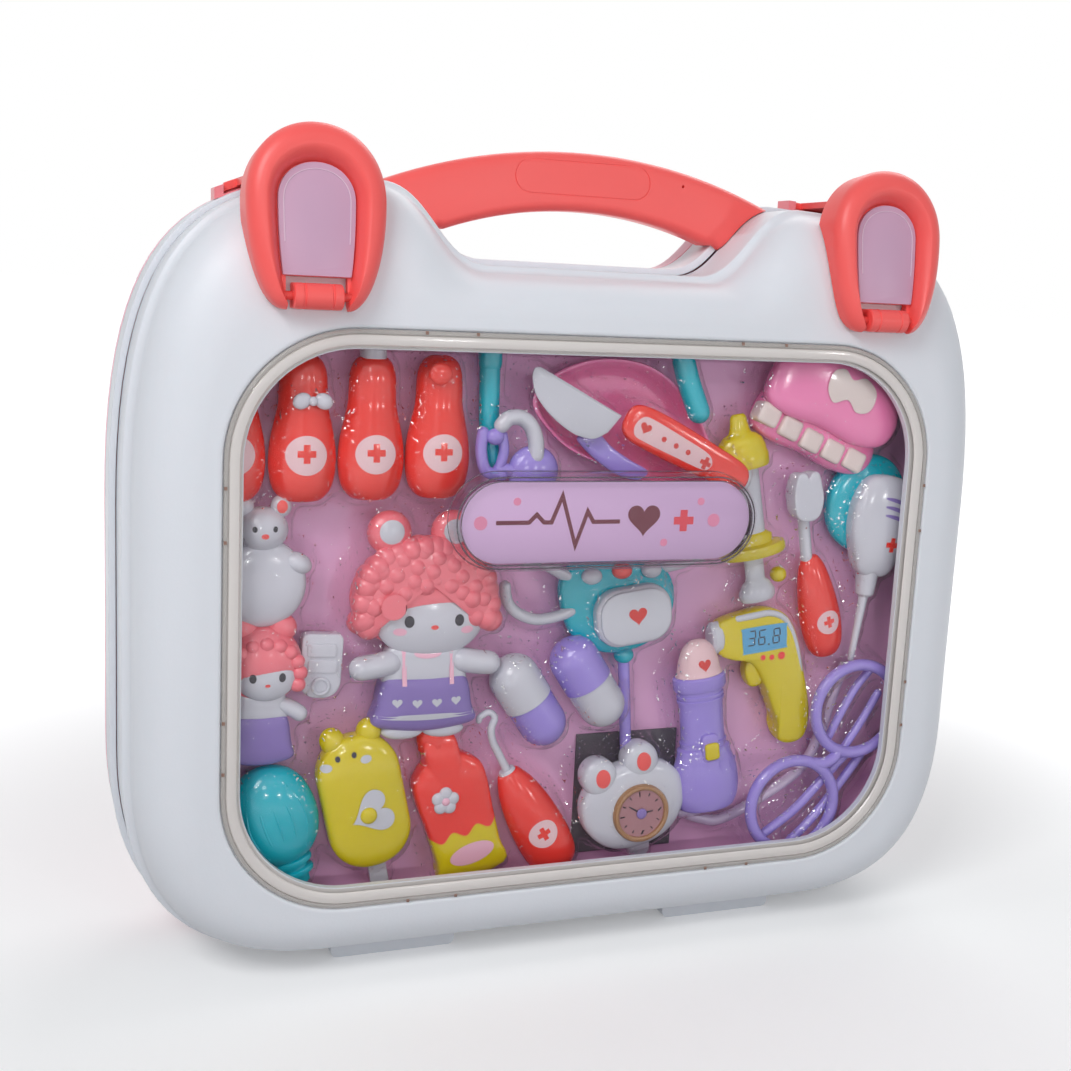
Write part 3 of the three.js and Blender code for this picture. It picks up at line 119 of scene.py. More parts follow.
seen = node(surround, "ShaderNodeBackground", {"Color": (1, 1, 1, 1), "Strength": 1.0})


def sees_background(tree):
    """1 for rays from the camera, mirrored and refracted ones, 0 for those that only light."""
    path = node(tree, "ShaderNodeLightPath").outputs
    either = node(tree, "ShaderNodeMath", {0: path["Is Camera Ray"], 1: path["Is Glossy Ray"]},
                  operation="MAXIMUM")
    return node(tree, "ShaderNodeMath", {0: either.outputs[0], 1: path["Is Transmission Ray"]},
                operation="MAXIMUM").outputs[0]


pick = node(surround, "ShaderNodeMixShader", {0: sees_background(surround), 1: sky.outputs[0],
                                              2: seen.outputs[0]})
surround.links.new(pick.outputs[0], surround.nodes["World Output"].inputs[0])

floor_mesh = bpy.data.meshes.new("floor")
floor_mesh.from_pydata([(-30, -30, 0), (30, -30, 0), (30, 30, 0), (-30, 30, 0)], [], [(0, 1, 2, 3)])
floor = bpy.data.objects.new("floor", floor_mesh)
bpy.context.scene.collection.objects.link(floor)


# A Mix node's two colours, by number, because its sockets of other kinds have the same names.
MIX_A, MIX_B = 6, 7


def linear(hex_code):
    """An sRGB hex value as linear colour."""
    values = [int(hex_code[i:i + 2], 16) / 255 for i in (0, 2, 4)]
    return tuple(v / 12.92 if v <= 0.04045 else ((v + 0.055) / 1.055) ** 2.4 for v in values) + (1,)


GRAIN_DEPTH = 0.0006


def plastic(name, hex_code, rough=0.3, coat=0.0, bump=0.05, soft=0.0, tint=0.04):
    """Moulded plastic: a faint mottle in its colour and gloss, and the fine grain of its mould."""
    material = bpy.data.materials.new(name)
    material.use_nodes = True
    tree = material.node_tree
    shader = tree.nodes["Principled BSDF"]
    where = node(tree, "ShaderNodeTexCoord").outputs["Object"]
    cloud = node(tree, "ShaderNodeTexNoise", {"Vector": where, "Scale": 45.0, "Detail": 3.0})
    base = Vector(linear(hex_code)[:3])
    dark = tuple(base * (1 - tint)) + (1,)
    light = tuple(min(1, c * (1 + tint)) for c in base) + (1,)
    colours = node(tree, "ShaderNodeMix", {"Factor": cloud.outputs["Fac"]}, data_type="RGBA")
    colours.inputs[MIX_A].default_value = dark
    colours.inputs[MIX_B].default_value = light
    tree.links.new(colours.outputs[2], shader.inputs["Base Color"])
    gloss = node(tree, "ShaderNodeMapRange", {"Value": cloud.outputs["Fac"], "To Min": rough * 0.85,
                                              "To Max": rough * 1.15})
    tree.links.new(gloss.outputs["Result"], shader.inputs["Roughness"])
    grains = node(tree, "ShaderNodeTexNoise", {"Vector": where, "Scale": 900.0, "Detail": 2.0})
    relief = node(tree, "ShaderNodeBump", {"Height": grains.outputs["Fac"], "Strength": bump,
                                           "Distance": GRAIN_DEPTH})
    tree.links.new(relief.outputs["Normal"], shader.inputs["Normal"])
    shader.inputs["Coat Weight"].default_value = coat
    shader.inputs["Coat Roughness"].default_value = 0.08
    if soft:
        shader.inputs["Subsurface Weight"].default_value = soft
        shader.inputs["Subsurface Radius"].default_value = (0.004, 0.003, 0.003)
        shader.inputs["Subsurface Scale"].default_value = 0.6
    return material


# Matt white paper: no shine, and its own light makes it pure white further away.
paper = plastic("floor_paper", "fcfcfc", rough=0.9, bump=0.0, tint=0.01)
tree = paper.node_tree
shader = tree.nodes["Principled BSDF"]
shader.inputs["Emission Color"].default_value = (1, 1, 1, 1)
where = node(tree, "ShaderNodeTexCoord").outputs["Object"]
away = node(tree, "ShaderNodeVectorMath", {0: where}, operation="LENGTH")
glow = node(tree, "ShaderNodeMapRange", {"Value": away.outputs["Value"], "From Min": 0.2,
                                         "From Max": 0.72, "To Min": 0.16, "To Max": 1.0},
            interpolation_type="SMOOTHSTEP")
straight = sees_background(tree)
level = node(tree, "ShaderNodeMix", {"Factor": straight, "A": 0.08, "B": glow.outputs["Result"]},
             data_type="FLOAT")
shade = node(tree, "ShaderNodeMix", {"Factor": straight}, data_type="RGBA")
shade.inputs[MIX_A].default_value = (0.5, 0.5, 0.5, 1)
shade.inputs[MIX_B].default_value = (0.97, 0.97, 0.97, 1)
tree.links.new(shade.outputs[2], shader.inputs["Base Color"])
tree.links.new(level.outputs["Result"], shader.inputs["Emission Strength"])
shader.inputs["Specular IOR Level"].default_value = 0.0
floor.data.materials.append(paper)


# Front shell
# The lid: a white ABS moulding with a bulged face and a broad fillet down to the flange at the seam.
# One skin runs from the window's seat over the face to the flange and back inside. The rooms for the
# hinge knuckles in the feet are cut out of it.


def smooth(mesh, sharp):
    """Shades smoothly, but keeps edges hard that are sharper than the angle."""
    shape = bmesh.new()
    shape.from_mesh(mesh)
    for face in shape.faces:
        face.smooth = True
    for edge in shape.edges:
        edge.smooth = not (len(edge.link_faces) == 2 and edge.calc_face_angle(0) > math.radians(sharp))
    shape.to_mesh(mesh)
    shape.free()


def place(name, mesh, body, materials, replaces=(), slot=None):
    """Makes the mesh a visible piece of a body, in place of the named solids."""
    made = bpy.data.objects.new(name, mesh)
    bpy.context.scene.collection.objects.link(made)
    for material in materials:
        mesh.materials.append(material)
    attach(made, body)
    if replaces:
        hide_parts(*replaces)
    return made


class Form:
    """Faces collected in millimetres, x and z in the view from the front, and made one piece."""

    def __init__(self, z0=0.0):
        self.points, self.faces, self.slots, self.z0 = [], [], [], z0

    def add(self, points, faces, slot=0):
        """Adds faces that number their own points from zero."""
        base = len(self.points)
        self.points += [tuple(p) for p in points]
        self.faces += [[i + base for i in f] for f in faces]
        self.slots += [slot] * len(faces)
        return self

    def loft(self, rings, slot=0, caps=(True, True), closed=False):
        """Joins rings of equally many points, with a cap on each end or the last joined to the first."""
        count = len(rings[0])
        faces = []
        span = len(rings) if closed else len(rings) - 1
        for i in range(span):
            k = (i + 1) % len(rings)
            for j in range(count):
                n = (j + 1) % count
                faces.append([i * count + j, i * count + n, k * count + n, k * count + j])
        if not closed and caps[0]:
            faces.append(list(range(count))[::-1])
        if not closed and caps[1]:
            faces.append([(len(rings) - 1) * count + j for j in range(count)])
        return self.add([p for r in rings for p in r], faces, slot)

    def between(self, outer, inner):
        """Flat face between two closed outlines at one depth."""
        rings = [[Vector((p[0], p[2], 0)) for p in r] for r in (outer, inner)]
        triangles = geometry.tessellate_polygon(rings)
        return self.add(list(outer) + list(inner), [list(t) for t in triangles])

    def tree(self):
        """The form as something that rays can hit."""
        return BVHTree.FromPolygons([Vector(p) for p in self.points], self.faces)

    def mesh(self, name, sharp=38):
        """The form as one closed mesh in metres, its faces turned outwards."""
        mesh = bpy.data.meshes.new(name)
        mesh.from_pydata([(x / 1000, (y + DEPTH_SHIFT) / 1000, (z + self.z0) / 1000)
                          for x, y, z in self.points], [], self.faces)
        mesh.polygons.foreach_set("material_index", self.slots)
        shape = bmesh.new()
        shape.from_mesh(mesh)
        bmesh.ops.remove_doubles(shape, verts=shape.verts, dist=2e-6)
        bmesh.ops.dissolve_degenerate(shape, edges=shape.edges, dist=1e-7)
        bmesh.ops.recalc_face_normals(shape, faces=shape.faces)
        shape.to_mesh(mesh)
        shape.free()
        smooth(mesh, sharp)
        return mesh

    def piece(self, name, body, materials, replaces=(), slot=None, sharp=38):
        """The form as a visible piece of a body."""
        return place(name, self.mesh(name, sharp), body, materials, replaces, slot)


shell = Form()


def quarter(steps):
    """Angles through a quarter turn, for a rounding."""
    return [math.pi / 2 * i / steps for i in range(steps + 1)]


HALF_WIDTH = 180.3
UNDERSIDE_Z = 3.6
SHOULDER_Z = 303.3
NOTCH_Z = 275.4
SEAM = 44
CORNER = 20
WALL = 2.5
# How far an outline draws in: at the side, below, at the shoulders, in the notch and at its foot.
BULGE = (5.9, 4.6, 4.6, 5.4, 5.5)
FLANGE = (2.8, 2.4, 2.0, 2.6, 3.5)
FACE = (22, 18, 34, 15, 13)


def at_depth(outline, depth):
    """An outline set at a depth behind the front face."""
    return [(x, depth, z) for x, z in outline]


def bezier(start, end, first, second, steps):
    """Points along a cubic curve."""
    out = []
    for i in range(steps + 1):
        t = i / steps
        a, b, c, d = (1 - t) ** 3, 3 * t * (1 - t) ** 2, 3 * t * t * (1 - t), t ** 3
        out.append(tuple(a * start[k] + b * first[k] + c * second[k] + d * end[k] for k in (0, 1)))
    return out


def both_sides(half):
    """An outline from its right half, mirrored for the left."""
    return half + [(-x, z) for x, z in half if x != 0][::-1]


def case_outline(side, bottom, top, notch, shift):
    """The case's outline, drawn in by its own amount at the side, bottom, top and notch."""
    side, low = HALF_WIDTH - side, UNDERSIDE_Z + bottom
    crown, base = SHOULDER_Z - top, NOTCH_Z - notch
    low_end, high_start = 84.6, 179.3
    peak, base_end = 85 + 0.5 * shift, 40 + shift
    run, corner = peak - base_end, 104
    half = [(0, low)]
    half += bezier((corner, low), (side, low_end), (side - (side - corner) * (1 - 0.734), low),
                   (side, low_end - (low_end - low) * 0.617), 20)
    half += bezier((side, high_start), (peak, crown), (side, high_start + (crown - high_start) * 0.857),
                   (peak + (side - peak) * 0.66, crown - (crown - high_start) * 0.018), 24)
    half += bezier((peak, crown), (base_end, base), (base_end + run * 0.54, crown),
                   (base_end + run * 0.46, base), 20)[1:]
    return both_sides(half + [(0, base)])


def ring_of(base, share, face, shrink, depth):
    """One outline of a shell, between its flange and its face."""
    return at_depth(case_outline(*(b + share * f + shrink for b, f in zip(base, face))), depth)


def front_rings(shrink, back, steps=14):
    """The lid's outlines from the face, over the fillet, down to the flange."""
    rings = [ring_of(BULGE, 1 - math.sin(t), FACE, shrink, CORNER * (1 - math.cos(t)) + shrink)
             for t in quarter(steps)]
    rings += [ring_of(FLANGE, 0, FACE, shrink + 1 - math.sin(t), 22 + 1 - math.cos(t) + shrink)
              for t in quarter(3)]
    return rings + [ring_of(FLANGE, 0, FACE, shrink, back)]


outer = front_rings(0, 43.35)
outer.append(ring_of(FLANGE, 0, FACE, 0.5, 43.85))
inner = front_rings(WALL, 43.85)
face_support = ring_of(BULGE, 1, FACE, 0.8, 0)
shell.loft([face_support] + outer + inner[::-1], caps=(False, False))


def rounded_box(half, low, high, low_radius, high_radius, steps=12):
    """A box with round corners, of one radius below and one above."""
    out = []
    for cx, cz, radius, start in ((half - low_radius, low + low_radius, low_radius, -90),
                                  (half - high_radius, high - high_radius, high_radius, 0)):
        for i in range(steps + 1):
            angle = math.radians(start + 90 * i / steps)
            out.append((cx + radius * math.cos(angle), cz + radius * math.sin(angle)))
    return out + [(-x, z) for x, z in out][::-1]


WINDOW_HALF = (145, 109.1)
WINDOW_RADIUS = 48


def window_ring(inset, depth):
    """The window's outline, drawn in by an inset."""
    radius = WINDOW_RADIUS - inset
    outline = rounded_box(WINDOW_HALF[0] - inset, -WINDOW_HALF[1] + inset + WINDOW_Z,
                          WINDOW_HALF[1] - inset + WINDOW_Z, radius, radius, 16)
    return at_depth(outline, depth)


seat = [window_ring(-1.6, 0), window_ring(-0.5, 0), window_ring(0, 0.5), window_ring(0, 2.8),
        window_ring(7.6, 2.8), window_ring(7.6, 5.3), window_ring(-2.5, 5.3), window_ring(-2.5, 2.5)]
shell.loft(seat, caps=(False, False))
shell.between(face_support, seat[0])
shell.between(inner[0], seat[-1])
# White ABS, moulded with a satin grain: highlights fade softly over the fillets.
white_abs = plastic("white_abs", "e6e9f0", rough=0.42, bump=0.06, soft=0.12, tint=0.012)


def cut(mesh, cutters, sharp=38):
    """The mesh with other closed meshes taken out of it."""
    holder = bpy.data.objects.new("holder", mesh)
    bpy.context.scene.collection.objects.link(holder)
    tools = []
    for cutter in cutters:
        tool = bpy.data.objects.new("tool", cutter)
        bpy.context.scene.collection.objects.link(tool)
        tools.append(tool)
        step = holder.modifiers.new("cut", "BOOLEAN")
        step.operation = "DIFFERENCE"
        step.solver = "EXACT"
        step.object = tool
    graph = bpy.context.evaluated_depsgraph_get()
    result = bpy.data.meshes.new_from_object(holder.evaluated_get(graph))
    for made in [holder] + tools:
        bpy.data.objects.remove(made)
    smooth(result, sharp)
    result.materials.clear()
    return result


def rod(x0, x1, depth, z, radius, steps=32):
    """Two or more rings of a round rod along x."""
    return [[(x, depth + radius * math.cos(2 * math.pi * i / steps),
              z + radius * math.sin(2 * math.pi * i / steps)) for i in range(steps)] for x in (x0, x1)]


HINGE_X = 72.5
HINGE_Z = 3.5


def hinge_room():
    """The round rooms that the hinge knuckles turn in."""
    return [Form().loft(rod(side * HINGE_X - 26, side * HINGE_X + 26, SEAM, HINGE_Z, 3.8)).mesh("room")
            for side in (-1, 1)]


place("front_shell_skin", cut(shell.mesh("front_shell_skin"), hinge_room(), 50), "lid", [white_abs],
      ["front_shell"], "white_shell")


# Rear shell and back cover
# A white ABS ring behind the seam, a little proud of the flange, and a dished cover of pale pink
# polypropylene that sits on a lip inside the ring and closes the back with a round fillet.
ring = Form()
REAR = (20, 16, 26, 12, 9)
PLAIN = (0, 0, 0, 0, 0)
ring.loft([ring_of(PLAIN, 0, REAR, 0.6, 44.15), ring_of(PLAIN, 0, REAR, 0.15, 44.35),
           ring_of(PLAIN, 0, REAR, 0, 44.9), ring_of(PLAIN, 0, REAR, 0, 61.4),
           ring_of(PLAIN, 0, REAR, 0.4, 61.85), ring_of(PLAIN, 0, REAR, 2.5, 61.85),
           ring_of(PLAIN, 0, REAR, 2.5, 44.15)], closed=True)
place("rear_shell_skin", cut(ring.mesh("rear_shell_skin"), hinge_room(), 50), "root", [white_abs],
      ["rear_shell"], "white_shell")

cover = Form()
rings = [ring_of(PLAIN, 0, REAR, s, d) for s, d in ((4.3, 64.2), (4.3, 56.2), (2.8, 56.2), (2.8, 62.15),
                                                    (0.5, 62.15), (0, 62.65))]


BACK = 88


def rear_rings(shrink, front):
    """The cover's outlines from its lip to the round back."""
    rings = [ring_of(PLAIN, 0, REAR, shrink + 0.5, front), ring_of(PLAIN, 0, REAR, shrink, front + 0.5)]
    return rings + [ring_of(PLAIN, 1 - math.cos(t), REAR, shrink,
                            BACK - CORNER * (1 - math.sin(t)) - shrink) for t in quarter(14)]


outer = rings + rear_rings(0, 62)[2:] + [ring_of(PLAIN, 1, REAR, 1, BACK)]
inner = [ring_of(PLAIN, 0, REAR, WALL, 64.2)] + rear_rings(WALL, 62)[2:]
cover.loft(inner[::-1] + outer)
# Pale pink polypropylene, moulded: a little waxy, light goes a short way in.
pink_polypropylene = plastic("pink_polypropylene", "f9bccd", rough=0.35, soft=0.15)
cover.piece("back_cover_skin", "root", [pink_polypropylene], ["back_cover"], "pale_pink")


# Handle
# A coral ABS arch, moulded in one piece, whose ends are held in the shoulders of both shells. Its
# front has a bare sunk panel and a small pinhole.
arch = Form()


def arc_height(x, crown, radius):
    """Height of a round arch at a place beside its crown."""
    return crown - radius + math.sqrt(radius * radius - x * x)


# The crown's height and the radius of each of the handle's two arcs.
TOP_ARC = (318.6, 215)
UNDER_ARC = (295.8, 163)


def handle_ring(inset, depth):
    """The arch's outline, drawn in for its rounded edges."""
    half = [(56 * i / 16, arc_height(56 * i / 16, *UNDER_ARC) + inset) for i in range(17)]
    half += [(59.5, 285.9 + inset), (62, 284.2 + inset), (84, arc_height(84, *TOP_ARC) - 12)]
    half += [(84 * (1 - i / 24), arc_height(84 * (1 - i / 24), *TOP_ARC) - inset) for i in range(25)]
    return at_depth(both_sides(half), depth)


front_edge = [handle_ring(4 * (1 - math.sin(t)), 40 + 4 * (1 - math.cos(t))) for t in quarter(7)]
back_edge = [handle_ring(4 * (1 - math.cos(t)), 54 - 4 * (1 - math.sin(t))) for t in quarter(7)]
arch.loft(front_edge + back_edge)
room_front = Form().loft(front_rings(-0.3, SEAM)).mesh("room_front")
room_rear = Form().loft(rear_rings(-0.3, 43.7)).mesh("room_rear")
PANEL_LOW, PANEL_TOP = 301.5, 314.9
groove = Form()
groove.loft([at_depth(rounded_box(28.9 - s, PANEL_LOW + s, PANEL_TOP - s, 6.7 - s, 6.7 - s), d)
             for s, d in ((0, 38), (0, 40.35), (0.5, 40.35), (0.5, 38))], closed=True)


def oval(rx, rz, steps=36):
    """An ellipse's outline."""
    return [(rx * math.cos(2 * math.pi * i / steps), rz * math.sin(2 * math.pi * i / steps))
            for i in range(steps)]


def shifted(outline, x0, z0):
    """An outline moved across and up."""
    return [(x + x0, z + z0) for x, z in outline]


pin = Form().loft([at_depth(shifted(oval(0.6, 0.6, 16), 43.5, 308.4), d) for d in (39, 42)])
# Coral ABS, moulded nearly smooth: a full colour with a broad soft shine.
coral_abs = plastic("coral_abs", "ff5f5c", rough=0.36, bump=0.05, soft=0.1)
place("handle_arch", cut(arch.mesh("handle_arch"), [room_front, room_rear, groove.mesh("groove"),
                                                    pin.mesh("pin")], 32), "root", [coral_abs],
      ["handle"], "coral")


# Ear latches
# Each is a coral ABS lever with a round rim and a shallow bowl that takes a mauve plate. It turns on a
# pin between two lugs, and its flat arm goes back over the shoulder to a pink catch on the rear shell.
# Darker coral ABS: pins and small marks that read against pale pieces. The tone is partly their own
# colour and partly painted shade for the pins and prints that lie in shade.
dark_coral_and_painted_shade = plastic("dark_coral_and_painted_shade", "d9403c", rough=0.45)
# Mauve ABS plate, moulded smooth: a quiet, even shine in the bowl.
mauve_abs = plastic("mauve_abs", "c9a2be", rough=0.34, bump=0.04)
# The raised line on the plate catches more light, so its mauve is painted a shade paler: a painted
# highlight.
mauve_line_painted_highlight = plastic("mauve_line_painted_highlight", "dcc3d6", rough=0.34)
# Pink ABS, moulded: the catches look brighter than the cover.
pink_abs = plastic("pink_abs", "ff8e96", rough=0.35, soft=0.1)
# Drawn steel wire: metallic, with a satin blur along it.
steel_wire = plastic("steel_wire", "b9bcc0", rough=0.35)
steel_wire.node_tree.nodes["Principled BSDF"].inputs["Metallic"].default_value = 1.0
EAR_AXIS = (-5.7, 258.9)
EAR_LEAN = -7
LATCH_X = 114.3


def scaled(outline, across, up):
    """An outline scaled about its own centre."""
    return [(x * across, z * up) for x, z in outline]


def ear_outline(inset, bowl=False):
    """The ear about its axis: narrow at the foot, round at the top."""
    half, low = 24.4 - inset, -4.8 + (0 if bowl else inset)
    top = 59.1 - inset * (1.25 if bowl else 1)
    flat = 10.5 - inset * 0.25 * (1 if bowl else 2)
    out = [(0, low)]
    out += bezier((flat, low), (half, 32.7), (flat + (half - flat) * 0.61, low),
                  (half, 32.7 - (32.7 - low) * 0.48), 22)
    out += bezier((half, 32.7), (0, top), (half, 32.7 + (top - 32.7) * 0.606), (half * 0.553, top),
                  22)[1:]
    return both_sides(out)


def tilted(outline, depth, side):
    """An outline in the ear's own plane, which leans back from upright."""
    turn = math.radians(EAR_LEAN)
    out = []
    for x, z in outline:
        out.append((side * LATCH_X + x, EAR_AXIS[0] + depth * math.cos(turn) - z * math.sin(turn),
                    EAR_AXIS[1] + depth * math.sin(turn) + z * math.cos(turn)))
    return out


def shoulder_z(x, grow=0.0):
    """Height of the shell's shoulder above a place."""
    points = case_outline(-grow, -grow, -grow, -grow, 0)
    spans = [(a, b) for a, b in zip(points, points[1:]) if a[0] > 80 and b[1] > 179]
    for a, b in spans:
        if min(a[0], b[0]) <= abs(x) <= max(a[0], b[0]) and a[0] != b[0]:
            return a[1] + (b[1] - a[1]) * (abs(x) - a[0]) / (b[0] - a[0])
    return 200.0


def shoulder_band(form, side, x0, x1, front, back, low, high):
    """A strip of the given thickness that follows the shoulder from x0 to x1."""
    count, soft = 12, 0.5
    rings = []
    for i in range(count + 1):
        x = x0 + (x1 - x0) * i / count
        z0, z1 = shoulder_z(x, low), shoulder_z(x, high)
        rings.append([(side * x, front, z0), (side * x, back, z0), (side * x, back, z1 - soft),
                      (side * x, back - soft, z1), (side * x, front + soft, z1),
                      (side * x, front, z1 - soft)])
    form.loft(rings)


def ear_form(side):
    """The whole lever: rim, bowl, lugs, rounded foot and the arm over the shoulder."""
    lever = Form()
    rounding = [tilted(ear_outline(6 * (1 - math.sin(t))), -4.8 + 6 * (1 - math.cos(t)), side)
                for t in quarter(9)]
    lever.loft([tilted(ear_outline(0.6), 12.5, side), tilted(ear_outline(0), 11.9, side)]
               + rounding[::-1])
    bowl = Form().loft([tilted(ear_outline(6.6 + 4 * i, True), -4.8 + 6.2 * d, side)
                        for i, d in ((-0.5, -0.2), (-0.25, -0.06), (-0.1, -0.015), (0.0, 0.01),
                                     (0.12, 0.05), (0.25, 0.12), (0.4, 0.23), (0.55, 0.37), (0.7, 0.54),
                                     (0.82, 0.72), (0.92, 0.88), (1.0, 1.0))])
    body = lever.mesh(f"ear_{side}")
    slot_box = Form().loft([[(side * LATCH_X - 10.7, d, z) for z in (245, 265.5)]
                            + [(side * LATCH_X + 10.7, d, z) for z in (265.5, 245)]
                            for d in (-25, 12.5)]).mesh("slot")
    round_foot = Form()
    turned_foot = [(EAR_AXIS[0] + 4.8 * math.cos(a), EAR_AXIS[1] + 4.8 * math.sin(a))
                   for a in [math.radians(180 + 180 * i / 20) for i in range(21)]]
    profile = turned_foot + [(12.5, EAR_AXIS[1]), (12.5, 245), (-25, 245), (-25, EAR_AXIS[1])]
    round_foot.loft([[(x, d, z) for d, z in profile] for x in (side * LATCH_X - 30,
                                                               side * LATCH_X + 30)])
    case_room = Form().loft(front_rings(-0.45, SEAM, 10)).mesh("case_room")
    body = cut(body, [bowl.mesh("bowl"), slot_box, round_foot.mesh("foot"), case_room], 40)
    arm = Form()
    shoulder_band(arm, side, 104, 134, 2.5, 52.4, 1.6, 4.0)
    shoulder_band(arm, side, 100.6, 138.6, 49.0, 52.4, 1.3, 4.0)
    shape = bmesh.new()
    shape.from_mesh(body)
    shape.from_mesh(arm.mesh("arm"))
    shape.to_mesh(body)
    shape.free()
    smooth(body, 40)
    return body


for word, side in (("left", -1), ("right", 1)):
    place(f"ear_{word}", ear_form(side), f"latch_{word}", [coral_abs], [f"latch_ear_{word}"], "coral")
    inlay = Form()
    plate = [(x, max(z, 7.0)) for x, z in ear_outline(10.9, True)]
    inlay.loft([tilted(plate, 1.3, side), tilted(scaled(plate, 0.99, 1), 0.0, side),
                tilted([(x * 0.95, 7.0 + (z - 7.0) * 0.975) for x, z in plate], -0.15, side)])
    outline = ear_outline(12.6, True)
    arc = [(x, z) for x, z in outline if z > 16]
    inlay.piece(f"ear_inlay_{word}", f"latch_{word}", [mauve_abs], [f"latch_inlay_{word}"], "mauve")
    line = Form()
    rings = []
    for x, z in arc:
        nx, nz = x / 13.0, (z - 30) / 25.0
        rings.append([tilted([(x - nx * s, z - nz * s)], d, side)[0]
                      for s, d in ((0, -0.1), (0, -0.35), (0.45, -0.35), (0.45, -0.1))])
    line.loft(rings)
    # The raised line takes the paler mauve, a painted highlight.
    line.piece(f"ear_line_{word}", f"latch_{word}", [mauve_line_painted_highlight], (), "mauve")

    # The bracket's barrel turns between the ear's two lugs; a C-shaped cover holds each end of the pin.
    barrel = Form()
    x0 = side * LATCH_X - 8.6
    profile = [(0, 3.9), (0.4, 4.4), (1.2, 4.5), (3.2, 4.5), (3.5, 4.1), (3.9, 4.1), (4.2, 4.5)]
    profile += [(17.2 - a, r) for a, r in profile[::-1]]
    barrel.loft([rod(x0 + a, x0 + a, EAR_AXIS[0], EAR_AXIS[1], r, 40)[0] for a, r in profile])
    block = rounded_box(8.6, EAR_AXIS[1] - 4.4, EAR_AXIS[1] + 4.4, 0.6, 0.6, 4)
    barrel.loft([at_depth(shifted(block, side * LATCH_X, 0), d) for d in (EAR_AXIS[0], -0.3)])
    barrel.piece(f"bracket_{word}", "lid", [coral_abs], [f"latch_bracket_{word}"], "coral")
    # These pieces keep the solids' own form and only take their plastic or steel.
    for name, material in ((f"latch_pin_{word}", dark_coral_and_painted_shade), (f"latch_catch_{word}", pink_abs),
                           (f"front_foot_{word}", white_abs), (f"rear_foot_{word}", white_abs),
                           (f"hinge_pin_{word}", steel_wire)):
        nodes[name].data.materials.clear()
        nodes[name].data.materials.append(material)


# Window
# A clear polystyrene panel, snapped into the front shell from outside by eight tabs, with a milky edge, a
# white rim under it and a long pill raised on it.
sheet = Form()
back_ring = window_ring(0.4, 2.5)
front_ring = window_ring(5.6, 1.1)
sheet.loft([back_ring, window_ring(0.4, 1.15), front_ring], caps=(False, False))


PILL_Z = 179.1
PILL_HALF = (62.8, 18.5)
PILL_FACE = -7
PILL_INSIDE = -5.4


def pill_ring(inset, depth):
    """The pill's outline, drawn in by an inset."""
    half = PILL_HALF[1] - inset
    return at_depth(rounded_box(PILL_HALF[0] - inset, PILL_Z - half, PILL_Z + half, half, half, 16),
                    depth)


boss = [pill_ring(-0.5, 1.1), pill_ring(0, 0.6)]
boss += [pill_ring(2 * (1 - math.cos(t)), PILL_FACE + 2 * (1 - math.sin(t))) for t in quarter(6)]
boss.append(pill_ring(3, PILL_FACE))
sheet.loft(boss, caps=(False, True))
hollow = [pill_ring(1.1, 2.5), pill_ring(1.6, 1.5)]
hollow += [pill_ring(1.6 + 0.7 * (1 - math.cos(t)), PILL_INSIDE + 0.7 * (1 - math.sin(t)))
           for t in quarter(4)]
hollow.append(pill_ring(4, PILL_INSIDE))
sheet.loft(hollow, caps=(False, True))
sheet.between(front_ring, boss[0])
sheet.between(back_ring, hollow[0])


def clear(name, tint="ffffff", rough=0.04, shine=1.0, bump=0.0, scale=60, least=0.0, body="ffffff"):
    """Clear plastic sheet: it lets sight and light through and shines more where it is seen aslant."""
    material = bpy.data.materials.new(name)
    material.use_nodes = True
    tree = material.node_tree
    tree.nodes.remove(tree.nodes["Principled BSDF"])
    where = node(tree, "ShaderNodeTexCoord").outputs["Object"]
    wave = node(tree, "ShaderNodeTexNoise", {"Vector": where, "Scale": float(scale), "Detail": 3.0})
    relief = node(tree, "ShaderNodeBump", {"Height": wave.outputs["Fac"], "Strength": bump,
                                           "Distance": 0.003})
    through = node(tree, "ShaderNodeBsdfTransparent", {"Color": linear(tint)})
    shiny = node(tree, "ShaderNodeBsdfPrincipled", {"Base Color": linear(body), "Roughness": rough,
                                                    "Normal": relief.outputs["Normal"]})
    edge = node(tree, "ShaderNodeLayerWeight", {"Blend": 0.5})
    steep = node(tree, "ShaderNodeMath", {0: edge.outputs["Facing"], 1: 5.0}, operation="POWER")
    share = node(tree, "ShaderNodeMapRange", {"Value": steep.outputs[0],
                                              "To Min": least + 0.035 * shine, "To Max": 1.0})
    mirror = node(tree, "ShaderNodeBsdfGlossy", {"Roughness": rough,
                                                 "Normal": relief.outputs["Normal"]})
    blend = node(tree, "ShaderNodeMixShader", {0: share.outputs["Result"]})
    tree.links.new(through.outputs[0], blend.inputs[1])
    if least > 0.1:
        tree.links.new(shiny.outputs[0], blend.inputs[2])
    else:
        tree.links.new(mirror.outputs[0], blend.inputs[2])
        tree.nodes.remove(shiny)
    tree.links.new(blend.outputs[0], tree.nodes["Material Output"].inputs[0])
    return material


# Clear polystyrene, polished mould: seen only by its edges and faint reflections.
clear_polystyrene = clear("clear_polystyrene", rough=0.03, shine=0.14)
sheet.piece("window_pane", "lid", [clear_polystyrene], ["window_panel"], "clear", 30)
lines = Form()
for inset, depth, half in ((-0.1, 0.75, 0.14), (1.35, -6.45, 0.3), (2.75, -7.05, 0.24)):
    lines.loft([pill_ring(inset + half * math.cos(math.radians(a)),
                          depth + half * math.sin(math.radians(a))) for a in range(0, 360, 45)],
               closed=True)
# The pill's folds, where the clear wall is seen edge-on and looks grey: thin half-clear grey lines that
# paint in the shade of the clear wall.
pill_fold_painted_shade = clear("pill_fold_painted_shade", rough=0.2, shine=0.4, least=0.6, body="6a5f6c")
lines.piece("pill_edge_lines", "lid", [pill_fold_painted_shade], (), "clear", 60)

